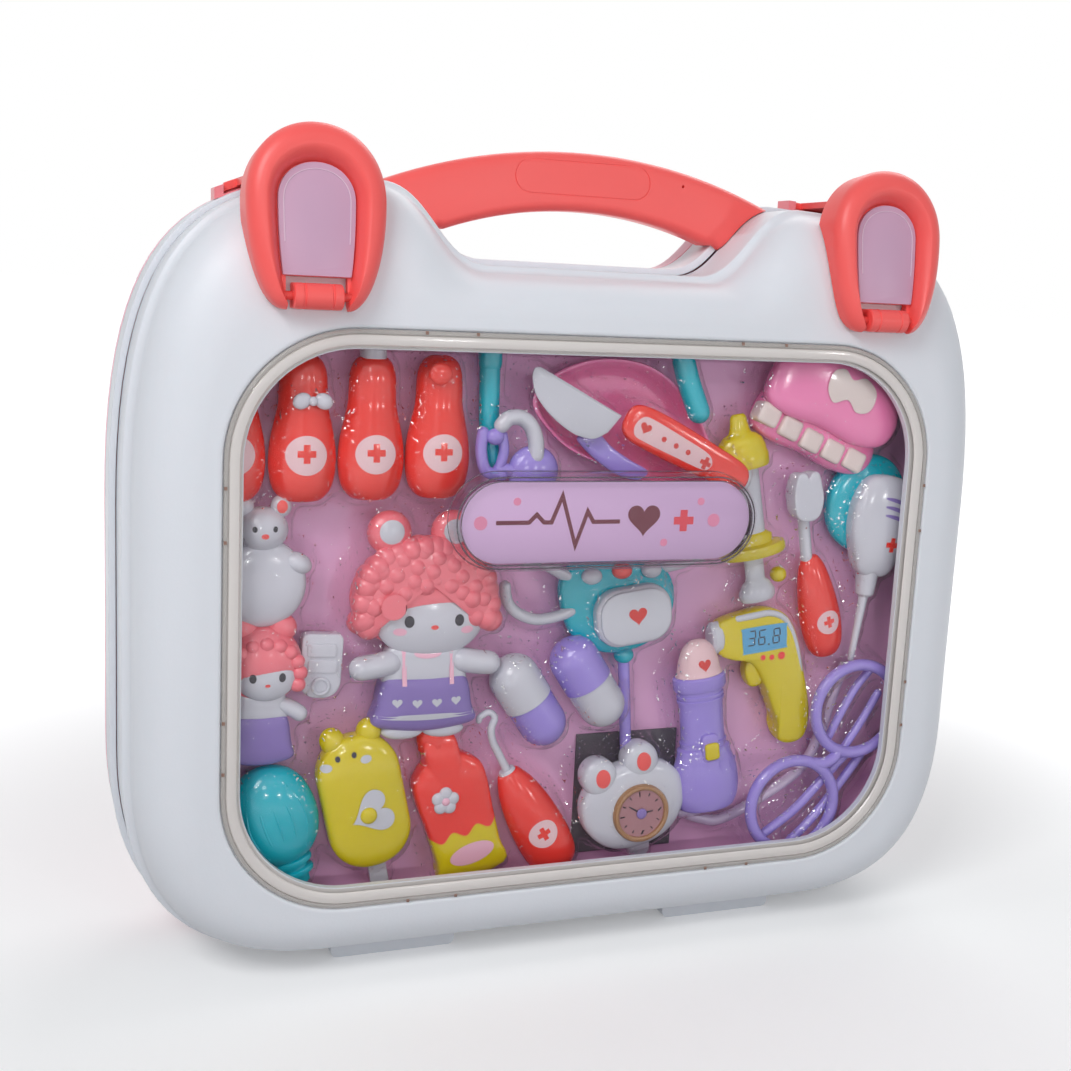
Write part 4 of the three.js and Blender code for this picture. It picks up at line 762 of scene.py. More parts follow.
rim = Form()
rim.loft([window_ring(i, d) for i, d in ((0.4, 1.1), (0.4, 0.5), (0.6, 0.1), (1.0, -0.2), (1.5, -0.3),
                                         (1.9, -0.2), (2.1, 0.1), (2.1, 1.08))], closed=True)
# The same plastic seen edge-on: milky, as light is caught in the thickness.
edge_polystyrene = clear("edge_polystyrene", tint="f4f2f0", rough=0.1, shine=0.6, least=0.4,
                         body="e2dedb")
rim.piece("window_bead", "lid", [edge_polystyrene], (), "clear", 30)
band = Form()
band.loft([window_ring(i, d) for i, d in ((2.2, 1.05), (2.2, 0.55), (2.5, 0.3), (3.6, 0.12), (4.9, 0.2),
                                          (5.9, 0.55), (6.3, 1.05))], closed=True)
band.loft([window_ring(i, d) for i, d in ((1.0, 2.55), (1.0, 2.75), (7.2, 2.75), (7.2, 2.55))],
          closed=True)
# Warm white ABS of the rim under the clear edge, painted darker than the shell's white as shade under the
# clear edge.
rim_white_painted_shade = plastic("rim_white_painted_shade", "dcd6d3", rough=0.3, coat=0.4, tint=0.01)
band.piece("window_band", "lid", [rim_white_painted_shade], (), "clear", 30)

ends = [spot(a * 63.8 + end, -0.21, b * 108.1) for a in (-1, 1) for b in (-1, 1) for end in (-9.6, 9.6)]
ends += [spot(a * 144.0, -0.21, b * 42.5 + end) for a in (-1, 1) for b in (-1, 1)
         for end in (-9.6, 9.6)]
tab_ends = bpy.data.meshes.new("tab_ends")
tab_ends.from_pydata(ends, [], [])
# The dark slits beside each snap tab, drawn as matt brown blocks: painted shade inside the slits.
slit_painted_shade = plastic("slit_painted_shade", "8a6a5e", rough=0.5)


def repeated(name, inputs, build, material, base=None):
    """Runs a Geometry Nodes tree with named inputs and gives its result as a plain mesh."""
    tree = bpy.data.node_groups.new(name, "GeometryNodeTree")
    tree.interface.new_socket("Geometry", in_out="INPUT", socket_type="NodeSocketGeometry")
    tree.interface.new_socket("Geometry", in_out="OUTPUT", socket_type="NodeSocketGeometry")
    kinds = {int: "NodeSocketInt", float: "NodeSocketFloat", tuple: "NodeSocketVector"}
    sockets = {label: tree.interface.new_socket(label, in_out="INPUT",
                                                socket_type=kinds[type(value)]).identifier
               for label, value in inputs.items()}
    instances = build(tree, node(tree, "NodeGroupInput").outputs)
    real = node(tree, "GeometryNodeRealizeInstances", {"Geometry": instances})
    painted = node(tree, "GeometryNodeSetMaterial", {"Geometry": real.outputs[0], "Material": material})
    node(tree, "NodeGroupOutput", {"Geometry": painted.outputs[0]})
    holder = bpy.data.objects.new(name, base or bpy.data.meshes.new(name))
    bpy.context.scene.collection.objects.link(holder)
    repeat = holder.modifiers.new("repeat", "NODES")
    repeat.node_group = tree
    for label, value in inputs.items():
        repeat[sockets[label]] = value
    graph = bpy.context.evaluated_depsgraph_get()
    result = bpy.data.meshes.new_from_object(holder.evaluated_get(graph))
    holder.modifiers.remove(repeat)
    bpy.data.objects.remove(holder)
    smooth(result, 38)
    return result


def blocks_on_points(tree, given):
    """A block on every point."""
    block = node(tree, "GeometryNodeMeshCube", {"Size": given["Block"]})
    return node(tree, "GeometryNodeInstanceOnPoints", {"Points": given["Geometry"],
                                                       "Instance": block.outputs[0]}).outputs[0]


# The brown blocks at the tab ends are painted shade.
place("window_tab_ends", repeated("tab_ends", {"Block": (0.0011, 0.00042, 0.0012)}, blocks_on_points,
                                  slit_painted_shade, tab_ends), "lid", [], (), "clear")


# Pill plate
# A lilac card pushed into the pill from behind. Its print is a plain heartbeat line with a heart, a plus
# and dots.
plaque = Form()
plaque.loft([pill_ring(3.1, -4.1), pill_ring(3.1, -4.95), pill_ring(3.3, -5.1)])
# Coated card, printed lilac: nearly matt, with an even tone.
lilac_card = plastic("lilac_card", "d6b3da", rough=0.45, tint=0.02)
plaque.piece("pill_card", "lid", [lilac_card], ["pill_plate"], "pink_plate")

prints = Form()
PRINT_DEPTHS = (-5.12, -5.2)
pulse = [(-46, 0), (-33, 0), (-30, 3), (-27, 0), (-24, 0), (-20, 10), (-14, -9), (-9.5, 4), (-7, 0),
         (4, 0)]
LINE_HALF = 0.8
above, below = [], []
for i, here in enumerate(pulse):
    before = (Vector(here) - Vector(pulse[i - 1])).normalized() if i else None
    after = (Vector(pulse[i + 1]) - Vector(here)).normalized() if i < len(pulse) - 1 else None
    along = ((before or after) + (after or before)).normalized()
    cross = Vector((-along.y, along.x)) * LINE_HALF / max(0.35, along.dot(before or after))
    above.append(Vector(here) + cross)
    below.append(Vector(here) - cross)
prints.loft([at_depth([(p.x, PILL_Z + p.y) for p in above + below[::-1]], d) for d in PRINT_DEPTHS], 0)


def heart(size):
    """A heart's outline."""
    out = []
    for i in range(44):
        t = 2 * math.pi * i / 44
        rise = 13 * math.cos(t) - 5 * math.cos(2 * t) - 2 * math.cos(3 * t) - math.cos(4 * t) + 2.5
        out.append((size * 16 * math.sin(t) ** 3 / 17, size * rise / 17))
    return out


def plus(size):
    """A plus sign's outline."""
    a, b = size, size * 0.36
    return [(b, b), (a, b), (a, -b), (b, -b), (b, -a), (-b, -a), (-b, -b), (-a, -b), (-a, b), (-b, b),
            (-b, a), (b, a)]


for x, z, outline, slot in ((14, 0, heart(7.2), 0), (31, 0, plus(4.2), 2), (44, 0, oval(2.6, 2.6), 1),
                            (-52, 0, oval(2.6, 2.6), 1), (-38, 8, oval(1.5, 1.5), 1),
                            (23, -8.5, oval(1.5, 1.5), 1), (38, 7.5, oval(1.5, 1.5), 1)):
    prints.loft([at_depth([(x + u, PILL_Z + z + w) for u, w in outline], d) for d in PRINT_DEPTHS],
                slot)
# Printing ink on card: flat, without a shine of its own.
brown_ink = plastic("brown_ink", "6d3442", rough=0.5)
# Rose ink for the dots.
rose_ink = plastic("rose_ink", "e58fb0", rough=0.5)
# Red ink for the plus.
red_ink = plastic("red_ink", "df4f5d", rough=0.5)
prints.piece("pill_print", "lid", [brown_ink, rose_ink, red_ink], (), "pink_plate")


# Four hand tools
# Pear-shaped red polystyrene grips, moulded in two halves, each with a pad-printed pale round badge and a
# plus. They stand in the tray under the film, and differ in what sits at their tips.
PEAR = [(0, -0.5), (0.34, -0.497), (0.62, -0.475), (0.88, -0.4), (1, -0.26), (0.97, -0.1), (0.84, 0.05),
        (0.74, 0.16), (0.72, 0.27), (0.69, 0.37), (0.56, 0.45), (0.3, 0.495), (0, 0.5)]
# Red polystyrene, moulded glossy: small hard highlights on a full colour.
GLOSSY = {"rough": 0.17, "coat": 0.1}
red_polystyrene = plastic("red_polystyrene", "f5352a", soft=0.05, **GLOSSY)
# Off-white polystyrene, moulded glossy: cool and slightly milky.
cream_polystyrene = plastic("cream_polystyrene", "d2d1dc", rough=0.2, coat=0.1, soft=0.1)
# Pad-printed pale ink: flat against the glossy red.
pale_pad_print = plastic("pale_pad_print", "f0c9cf", rough=0.4)


def spline(points, steps=6, closed=False):
    """A smooth curve through all the points."""
    points = [Vector(p) for p in points]
    count = len(points)
    out = []
    for i in range(count if closed else count - 1):
        if closed:
            a, b, c, d = (points[(i + k) % count] for k in (-1, 0, 1, 2))
        else:
            a, b, c, d = (points[min(max(i + k, 0), count - 1)] for k in (-1, 0, 1, 2))
        for j in range(steps):
            t = j / steps
            out.append(tuple(0.5 * ((2 * b) + (c - a) * t + (2 * a - 5 * b + 4 * c - d) * t * t
                                    + (3 * b - a - 3 * c + d) * t ** 3)))
    return out if closed else out + [tuple(points[-1])]


def leaned(x, z, lean):
    """A place turned clockwise by the lean."""
    turn = math.radians(lean)
    return x * math.cos(turn) + z * math.sin(turn), z * math.cos(turn) - x * math.sin(turn)


def turned(form, profile, place, depth, radius, length, flat=1.0, lean=0, slot=0, steps=5, sides=40):
    """A turned form on an upright axis, flattened; its profile is (radius, height) shares."""
    shape = spline(profile, steps) if steps > 1 else profile
    rings = []
    for r, h in shape:
        ring = []
        for j in range(sides):
            angle = 2 * math.pi * j / sides
            x, z = leaned(max(r, 0.004) * radius * math.cos(angle), h * length, lean)
            ring.append((place[0] + x, depth + max(r, 0.004) * radius * flat * math.sin(angle),
                         place[1] + z))
        rings.append(ring)
    return form.loft(rings, slot)


def ellipsoid(form, place, depth, radii, lean=0, slot=0, sides=36, rows=18):
    """An egg or ball that leans in the view from the front."""
    rx, ry, rz = radii
    rings = []
    for i in range(rows + 1):
        angle = math.radians(-88 + 176 * i / rows)
        ring = []
        for j in range(sides):
            b = 2 * math.pi * j / sides
            x, z = leaned(rx * math.cos(angle) * math.cos(b), rz * math.sin(angle), lean)
            ring.append((place[0] + x, depth + ry * math.cos(angle) * math.sin(b), place[1] + z))
        rings.append(ring)
    return form.loft(rings, slot)


RAY_START = -60


def decal(form, target, outline, place, lean=0, slot=1, lift=0.12, scales=(1, 0.85, 0.65, 0.4, 0.12)):
    """A print: the outline laid on the front of the target, which follows its curve."""
    rings = []
    for scale in scales:
        ring = []
        for x, z in outline:
            u, w = leaned(x * scale, z * scale, lean)
            hit = target.ray_cast(Vector((place[0] + u, RAY_START, place[1] + w)), Vector((0, 1, 0)))[0]
            ring.append([place[0] + u, hit.y - lift if hit else None, place[1] + w])
        rings.append(ring)
    depths = [p[1] for r in rings for p in r if p[1] is not None]
    for r in rings:
        for p in r:
            if p[1] is None:
                p[1] = max(depths) if depths else 10
    return form.loft(rings, slot, caps=(False, True))


def toy():
    """A form whose places are measured from the window's centre."""
    return Form(WINDOW_Z)


toys = []


def finish_toy(form, name, materials, replaces, slot, sharp=38):
    """Makes a toy a piece, and keeps its form for the blister to be drawn over."""
    toys.append(form)
    return form.piece(name, "root", materials, replaces, slot, sharp)


for name, x, z in (("scope_grip", -139.9, 71.5), ("bow_grip", -114.1, 71.5), ("drop_grip", -88.5, 72.0),
                   ("knob_grip", -62.9, 72.5)):
    grip = toy()
    turned(grip, PEAR, (x, z), 17.6, 12.4, 54, 0.76)
    face = grip.tree()
    decal(grip, face, oval(7.6, 7.2), (x, z - 9), 0, 1)
    decal(grip, grip.tree(), plus(3.4), (x, z - 8.4), 0, 2, 0.1)
    if name == "bow_grip":
        for side in (-1, 1):
            ellipsoid(grip, (x + 2 + side * 3.9, z + 10.6), 9.4, (3.5, 1.6, 2.9), side * 28, 3, 20, 10)
        ellipsoid(grip, (x + 2, z + 10.6), 8.7, (1.7, 1.5, 1.8), 0, 3, 16, 8)
    if name == "drop_grip":
        turned(grip, [(0, 0), (1, 0), (1, 0.55), (0.75, 0.62), (0.75, 1), (0, 1)], (x, z + 25.5), 17.6,
               5, 7.2, 1.0, 0, 3, 1, 28)
    if name == "knob_grip":
        turned(grip, [(0, -0.5), (1, -0.5), (1, 0.5), (0, 0.5)], (x - 2, z + 20), 10.4, 4.6, 2.4, 0.6,
               0, 0, 1, 28)
        ellipsoid(grip, (x - 2, z + 20.5), 9.2, (4.4, 1.3, 4.2), 0, 0, 24, 10)
    finish_toy(grip, name + "_form", [red_polystyrene, pale_pad_print, red_polystyrene,
                                      cream_polystyrene], [name], "red")


# Ear tubes, clamp and hooked probe
# The stethoscope's teal tubes run up under the tray's edge. A lilac clamp grips one of them, and an
# off-white hooked probe is plugged into it.
tubes = toy()


def tube(form, path, radius, slot=0, sides=16, steps=8, taper=1.0, flat=1.0):
    """Round tube with domed ends along (x, depth, z) points."""
    line = [Vector(p) for p in spline(path, steps)]
    rings = []
    last = len(line) - 1
    for i, point in enumerate(line):
        along = (line[min(i + 1, last)] - line[max(i - 1, 0)]).normalized()
        side_way = along.cross(Vector((0, 1, 0))).normalized()
        out_way = side_way.cross(along)
        r = radius * (1 + (taper - 1) * i / last)

        def circle(centre, r):
            return [tuple(centre + side_way * (r * math.cos(2 * math.pi * j / sides)) + out_way
                          * (r * flat * math.sin(2 * math.pi * j / sides))) for j in range(sides)]
        if i == 0:
            rings += [circle(point - along * (r * math.sin(t)), max(r * math.cos(t), 0.02))
                      for t in quarter(4)[:0:-1]]
        rings.append(circle(point, r))
        if i == last:
            rings += [circle(point + along * (r * math.sin(t)), max(r * math.cos(t), 0.02))
                      for t in quarter(4)[1:]]
    return form.loft(rings, slot)


tube(tubes, [(-42.5, 20, 101), (-42.3, 20, 88), (-41.8, 20, 74), (-39.5, 20, 60)], 4.0)
tube(tubes, [(-42.5, 20, 101), (-42.4, 20, 97)], 4.6)
# Teal polystyrene, moulded glossy like the red.
teal_polystyrene = plastic("teal_polystyrene", "00b6ca", soft=0.05, **GLOSSY)
finish_toy(tubes, "ear_tube_left_form", [teal_polystyrene], ["ear_tube_left"], "teal")
tubes = toy()
tube(tubes, [(35.5, 13.4, 101), (38.5, 13.4, 92), (43.8, 13.4, 80)], 4.6)
finish_toy(tubes, "ear_tube_right_form", [teal_polystyrene], ["ear_tube_right"], "teal")
probe = toy()
tube(probe, [(-39.5, 12, 74), (-36.5, 12, 76.8), (-31.5, 12, 76.8), (-27.5, 12, 73.5), (-25.4, 12, 68),
             (-25.1, 12, 62)], 3.0, 0, 18, 8, 1.05)
finish_toy(probe, "hooked_probe_form", [cream_polystyrene], ["hooked_probe"], "cream")
clamp = toy()
tube(clamp, [(-46.2, 13.6, 71), (-46.8, 13.6, 64), (-44.5, 13.6, 56.5), (-38, 13.6, 54.8)], 2.3)
tube(clamp, [(-38.4, 13.6, 70), (-37.6, 13.6, 64), (-39, 13.6, 58)], 2.0)
ellipsoid(clamp, (-41.6, 69.6), 12.6, (3.6, 2.6, 3.2), 0, 0, 24, 12)
ellipsoid(clamp, (-25.2, 56.2), 14.2, (10.2, 5.6, 10), 0, 0, 40, 20)
tube(clamp, [(-39, 14, 57), (-30, 14, 56)], 2.6)
# Lilac polystyrene, moulded glossy like the red.
lilac_polystyrene = plastic("lilac_polystyrene", "a48fe2", soft=0.08, **GLOSSY)
finish_toy(clamp, "tube_clamp_form", [lilac_polystyrene], ["tube_clamp"], "lilac")


# Kidney dish, knife and tweezers
# A thin-walled rose dish with a rolled rim. A play knife with an off-white blade pressed into a red
# printed handle, and lilac tweezers, lie over it.
KIDNEY = spline([(-25, 81), (-19, 92), (-1, 99.5), (22, 98), (40, 86), (53, 66), (57, 50), (46, 44),
                 (28, 50), (8, 57), (-12, 66)], 8, True)
dish = toy()
cx, cz = 14.5, 74


def kidney(scale, depth):
    """The dish's outline about its centre."""
    return [(cx + (x - cx) * scale, depth, cz + (z - cz) * scale) for x, z in KIDNEY]


dish.loft([kidney(s, d) for s, d in ((0.8, 27.3), (0.86, 26.9), (0.985, 19), (1.0, 17.9), (0.985, 17.3),
                                     (0.955, 17.4), (0.94, 18.2), (0.86, 23.5), (0.8, 25.2),
                                     (0.7, 25.9))])
# Rose polystyrene: light goes in a little, so thin rims glow.
rose_polystyrene = plastic("rose_polystyrene", "ff8abf", soft=0.1, **GLOSSY)
finish_toy(dish, "kidney_dish_form", [rose_polystyrene], ["kidney_dish"], "rose", 60)
blade = toy()
edge = spline([(-27.5, 96), (-28.3, 92.5), (-26.3, 85.5), (-20, 78), (-11, 71.5), (-2.5, 69.3),
               (3.6, 71.8)], 6)
spine = spline([(9.2, 78.4), (-2, 84.2), (-16, 91.6), (-25.5, 96.4)], 4)
blade.loft([at_depth(edge + spine, d) for d in (11.4, 10.5)])
ground = [((x + 8) * 0.9 - 8, (z - 81) * 0.86 + 81) for x, z in edge + spine]
blade.loft([at_depth(edge + spine, 10.5), at_depth(ground, 10.0)], 0, (False, True))
finish_toy(blade, "knife_blade_form", [cream_polystyrene], ["knife_blade"], "cream", 25)
hilt = toy()
HILT = spline([(-30, 0), (-28.5, 5.6), (-22, 7.8), (-8, 8.0), (12, 7.0), (26, 5.6), (30.5, 2),
               (30, -3.5), (24, -6), (8, -7.2), (-10, -8), (-24, -7.6), (-29, -4.8)], 6, True)


def puff(form, outline, place, front, middle, back, lean=0, slot=0, full=2.6, rows=12):
    """Padded form: the outline about its own centre, with a domed front and a flatter back."""
    rings = [(0.9, back), (0.975, back - 0.25 * (back - middle)), (1.0, back - 0.6 * (back - middle)),
             (1.0, middle)]
    for t in quarter(rows)[1:]:
        rings.append((max(math.cos(t), 0.0) ** (2 / full), middle - (middle - front)
                      * math.sin(t) ** (2 / full)))
    rings[-1] = (0.03, front)
    made = []
    for scale, depth in rings:
        ring = []
        for x, z in outline:
            u, w = leaned(x * scale, z * scale, lean)
            ring.append((place[0] + u, depth, place[1] + w))
        made.append(ring)
    return form.loft(made, slot)


puff(hilt, HILT, (38.2, 65.3), 8.2, 10.4, 13.1, 25, 0, 3.4)
face = hilt.tree()
PANEL = spline([(-21, 0), (-19, 4.2), (-14, 5), (0, 4.4), (12, 3.6), (16, 1.6), (16.4, -1.4),
                (13, -3.4), (0, -4), (-14, -4.4), (-19.4, -3.8)], 5, True)
decal(hilt, face, PANEL, (33.4, 66.4), 25, 1)
front_face = hilt.tree()
decal(hilt, front_face, heart(2.6), (18.6, 73.6), 25, 2, 0.1)
for k in range(3):
    decal(hilt, front_face, oval(1.1, 1.1), (26.8 + 5.4 * k, 69.6 - 2.55 * k), 25, 2, 0.1)
decal(hilt, front_face, plus(2.5), (45.6, 60.2), 25, 2, 0.1)
finish_toy(hilt, "knife_handle_form", [red_polystyrene, pale_pad_print, dark_coral_and_painted_shade],
           ["knife_handle"], "red")
tongs = toy()
TONGS = spline([(-7, 69), (-2, 71.5), (2.5, 70.5), (8, 65.5), (16, 60.5), (24, 56), (20, 52.5),
                (11, 54.5), (2, 60), (-4, 65)], 5, True)
tx, tz = 8, 62
puff(tongs, shifted(TONGS, -tx, -tz), (tx, tz), 14.2, 15.6, 17, 0, 0, 3)
finish_toy(tongs, "tweezers_form", [lilac_polystyrene], ["tweezers"], "lilac")


# Denture model
# Rose polystyrene gums, moulded as two arches, with five separate bone-coloured ABS teeth pressed in
# and a pale plate on the upper one.
bite = toy()
GUM = spline([(-32, -4), (-30, 7), (-20, 15.5), (-4, 18.5), (13, 17), (27, 11), (32.5, 1), (29, -9),
              (16, -13.5), (-2, -13), (-18, -14.5), (-29, -12)], 7, True)
puff(bite, GUM, (106.4, 86.0), 9.0, 13.6, 19.5, 22, 0, 2.4)
puff(bite, scaled(GUM, 0.94, 0.86), (102.0, 72.6), 14.5, 19.5, 26.8, 24, 0, 2.4)
TOOTH = rounded_box(4.9, -4.4, 4.4, 1.6, 1.6, 5)
for i in range(5):
    t = i / 4
    x, z = -24.5 + 46 * t, -15.6 - 1.2 * math.sin(math.pi * t)
    u, w = leaned(x, z, 24)
    puff(bite, TOOTH, (105.5 + u, 83.6 + w), 12.8 + 1.2 * abs(t - 0.4), 15.5, 22, 24, 1, 4.5, 8)
face = bite.tree()
decal(bite, face, spline([(-10, -2), (-10, 5), (-5, 8), (0, 5.5), (6, 8.5), (13, 5), (13, -3), (7, -6),
                          (1, -3), (-5, -6.5)], 5, True), (109.5, 89.5), 22, 1, 0.5)
# Bone-coloured ABS for the teeth: duller and warmer than the off-white.
bone_abs = plastic("bone_abs", "e8d6d2", rough=0.3, coat=0.3, soft=0.1)
finish_toy(bite, "denture_form", [rose_polystyrene, bone_abs], ["denture"], "rose")


# Syringe
# Polystyrene: a yellow tip, collar and flange on an off-white barrel and plunger. All are turned forms
# on one axis, pushed together.
dose = toy()
SY, LN = (73.2, 39.8), -11.5


def dose_part(profile, slot, flat=0.55, steps=1):
    """One turned part of the syringe, on its leaning axis."""
    turned(dose, [(r, h / 80) for r, h in profile], SY, 20.6, 1.0, 80, flat, LN, slot, steps, 36)


dose_part([(0, 40), (2.6, 39.7), (3.6, 38.6), (3.9, 36), (4.6, 33), (5.2, 31.8), (7.2, 31), (9.6, 29),
           (10.9, 26), (11.3, 23.4), (11.9, 22.6), (11.9, 18), (11.2, 17.2), (0, 17.2)], 1)
dose_part([(0, 17.2), (6.6, 17.2), (6.6, -11), (0, -11)], 0)
for z in (12, 8, 4, 0, -4, -8):
    dose_part([(0, z + 0.25), (6.75, z + 0.25), (6.75, z - 0.25), (0, z - 0.25)], 0)
dose_part([(0, -10.6), (7, -10.6), (9.6, -12.2), (9.6, -15.2), (14.6, -15.8), (15.2, -17),
           (15.2, -19.2), (14.4, -20.2), (7, -20.6), (0, -20.6)], 1)
dose_part([(0, -20.6), (4.4, -20.6), (4.4, -31), (6.2, -32.4), (8.2, -36), (8.2, -38.6), (7.2, -40),
           (0, -40)], 0)
ellipsoid(dose, (90.6, 11.2), 21.5, (3.6, 3.4, 3.4), 0, 1, 24, 12)
# Yellow polystyrene, moulded glossy like the red.
yellow_polystyrene = plastic("yellow_polystyrene", "dec800", soft=0.05, **GLOSSY)
finish_toy(dose, "syringe_form", [cream_polystyrene, yellow_polystyrene], ["syringe"], "cream", 50)


# Toothbrush
# Polystyrene: a scalloped off-white head on a thin stem, plugged into a red grip that has the same
# badge as the hand tools.
brush = toy()
BRUSH_LEAN = -16
HEAD = spline([(-6.6, -2), (-6.4, 4.6), (-4.6, 9.8), (-1.6, 10.4), (0, 8.2), (1.8, 10.6), (4.8, 10),
               (6.4, 4.6), (7.2, -2), (5, -8.4), (0, -10.2), (-5, -8.2)], 6, True)
puff(brush, HEAD, (98.6, 44.8), 14.2, 15.4, 23.6, -5, 1, 4.2)
tube(brush, [(99.6, 20.5, 37), (101, 20.5, 30), (103.2, 20.5, 18)], 2.5, 1)
turned(brush, [(0, -0.5), (0.3, -0.495), (0.62, -0.46), (0.88, -0.36), (1, -0.18), (0.98, 0),
               (0.86, 0.2), (0.66, 0.38), (0.45, 0.47), (0.3, 0.5), (0, 0.5)], (110.9, -3.3), 20.7, 9.3,
       46, 0.72, BRUSH_LEAN, 0)
face = brush.tree()
decal(brush, face, oval(5.4, 5.2), (113, -9), BRUSH_LEAN, 2)
decal(brush, brush.tree(), plus(2.5), (113, -8.8), BRUSH_LEAN, 0, 0.1)
finish_toy(brush, "toothbrush_form", [red_polystyrene, cream_polystyrene, pale_pad_print],
           ["toothbrush"], "red")


# Lamp
# An off-white polystyrene bulb screwed to a teal back, with three printed curved vents and a plus.
# A neck and a thin tapered wand hang below it.
lamp = toy()
EGG = [(x, z * (1.08 if z > 0 else 1.0)) for x, z in oval(1, 1, 48)]
puff(lamp, scaled(EGG, 19.4, 20.5), (130.8, 40.5), 17.2, 21.5, 25.2, 12, 1, 2.8)
BULB = spline([(0, 21), (10, 18.5), (15, 9), (14.6, -3), (11, -14), (7, -21.5), (0, -23), (-7, -21.5),
               (-11, -14), (-14.6, -2), (-14, 10), (-9, 19)], 6, True)
puff(lamp, BULB, (134.2, 33.5), 8.6, 13.6, 20.6, 6, 0, 2.4)
turned(lamp, [(0, 0.5), (1, 0.5), (0.92, 0), (0.8, -0.4), (0.55, -0.5), (0, -0.5)], (130.8, 7.6), 16,
       4.9, 12, 1.0, 2, 0, 1, 30)
tube(lamp, [(130.4, 16, 3), (129, 16, -8), (126.6, 16, -26)], 2.2, 0, 14, 6, 0.6)
face = lamp.tree()
for k in range(3):
    arc = [(-6 + 12 * i / 10, 1.4 * math.cos((i - 5) / 5 * 1.3)) for i in range(11)]
    vent = shifted(arc, 0, 0.35) + shifted(arc[::-1], 0, -0.35)
    decal(lamp, face, vent, (138.4, 43 - 3.6 * k), 18, 2, 0.1, (1, 0.5, 0.1))
decal(lamp, face, plus(3.1), (137.6, 25), 6, 3)
# Spray paint in a deeper lilac: duller than the bare plastic.
deep_lilac_paint = plastic("deep_lilac_paint", "8a74b8", rough=0.4)
finish_toy(lamp, "lamp_form", [cream_polystyrene, teal_polystyrene, deep_lilac_paint, red_polystyrene],
           ["lamp"], "cream")


# Thermometer gun
# A yellow polystyrene pistol form in two halves, with an off-white strip and nose ring, a paper
# display label with plain figures, and small red buttons.
gun = toy()
GUN = spline([(61.5, -9.5), (66, -6.2), (76, -3.6), (84, -2.2), (92, -4.6), (97.5, -11), (101, -20),
              (104, -31), (107, -42), (108.4, -52), (106.5, -60), (100, -62.6), (94.3, -60.6),
              (93, -53), (89, -44), (85.5, -36), (80.5, -28), (75, -25), (68, -24), (62.4, -20.5)], 5,
             True)
gx, gz = 92, -24
puff(gun, shifted(GUN, -gx, -gz), (gx, gz), 14.6, 17.6, 26.3, 0, 0, 3.6)
turned(gun, [(0, -0.5), (0.8, -0.5), (1, -0.3), (1, 0.3), (0.8, 0.5), (0, 0.5)], (61.8, -15), 19.6, 7,
       5.4, 0.7, 82, 1, 1, 30)
tube(gun, [(70, 16.4, -6.6), (78, 15.6, -5.0), (85, 15.4, -4.2), (91.5, 15.6, -6.6), (96, 15.8, -12.4),
           (99.4, 15.8, -21), (102.4, 16.2, -32)], 1.5, 1, 14, 6, 0.8, 0.8)
face = gun.tree()
screen = spline([(-10.2, -5.2), (-10.6, 3.6), (-9.2, 5.2), (9.4, 5.2), (10.6, 3.6), (10.2, -4.4),
                 (9, -5.6), (-9, -6)], 2, True)
decal(gun, face, screen, (82.6, -14.6), -6, 2, 0.25)
for u in (82.4, 86.6):
    decal(gun, gun.tree(), oval(1.2, 1.2), (u, -23.2), 0, 3, 0.25)
decal(gun, gun.tree(), oval(1.7, 1.7), (91.2, -22.6), 0, 3, 0.3)
trigger = spline([(-3, -5), (-3.4, 2), (-1, 6), (2, 6), (3, 0), (2.5, -6)], 4, True)
puff(gun, trigger, (80.6, -31), 17.5, 19.5, 24, -20, 0, 3)
# Printed blue paper label under a thin gloss.
blue_label = plastic("blue_label", "5fa9d6", rough=0.3)
finish_toy(gun, "thermometer_form", [yellow_polystyrene, cream_polystyrene, blue_label,
                                     red_polystyrene], ["thermometer"], "yellow")
SEGMENTS = {"3": "abgcd", "6": "afgedc", "8": "abcdefg"}
BARS = {"a": (0, 2, 0), "b": (1, 1, 1), "c": (1, -1, 1), "d": (0, -2, 0), "e": (-1, -1, 1),
        "f": (-1, 1, 1), "g": (0, 0, 0)}
digits = toy()
target = gun.tree()
for figure, x in (("3", 76.4), ("6", 81.2), ("8", 88.0)):
    for letter in SEGMENTS[figure]:
        u, w, upright = BARS[letter]
        a, b = (0.28, 1.25) if upright else (1.3, 0.28)
        decal(digits, target, [(a, b), (a, -b), (-a, -b), (-a, b)],
              (x + u * 1.45 + 0.12 * w, -14.2 + w * 1.55 + 0.07 * (x - 82)), -6, 0, 0.1, (1, 0.2))
decal(digits, target, oval(0.45, 0.45, 10), (84.6, -17.4), 0, 0, 0.1, (1, 0.2))
# Pad-printed black ink.
black_pad_print = plastic("black_pad_print", "2d2733", rough=0.4)
digits.piece("thermometer_figures", "root", [black_pad_print], (), "yellow")


# Torch
# Polystyrene: a pale dome in a lilac collar, a ribbed barrel with a yellow slide in its recess, and a
# flared foot with a scalloped edge. It is moulded in two halves.
torch = toy()
TX, TL, TR = (57.3, -51.3), -8, 14.6


def torch_part(profile, slot, steps=3, flat=0.64):
    """One turned part of the torch, on its leaning axis."""
    turned(torch, [(r / TR, h / 74) for r, h in profile], TX, 17.6, TR, 74, flat, TL, slot, steps, 44)


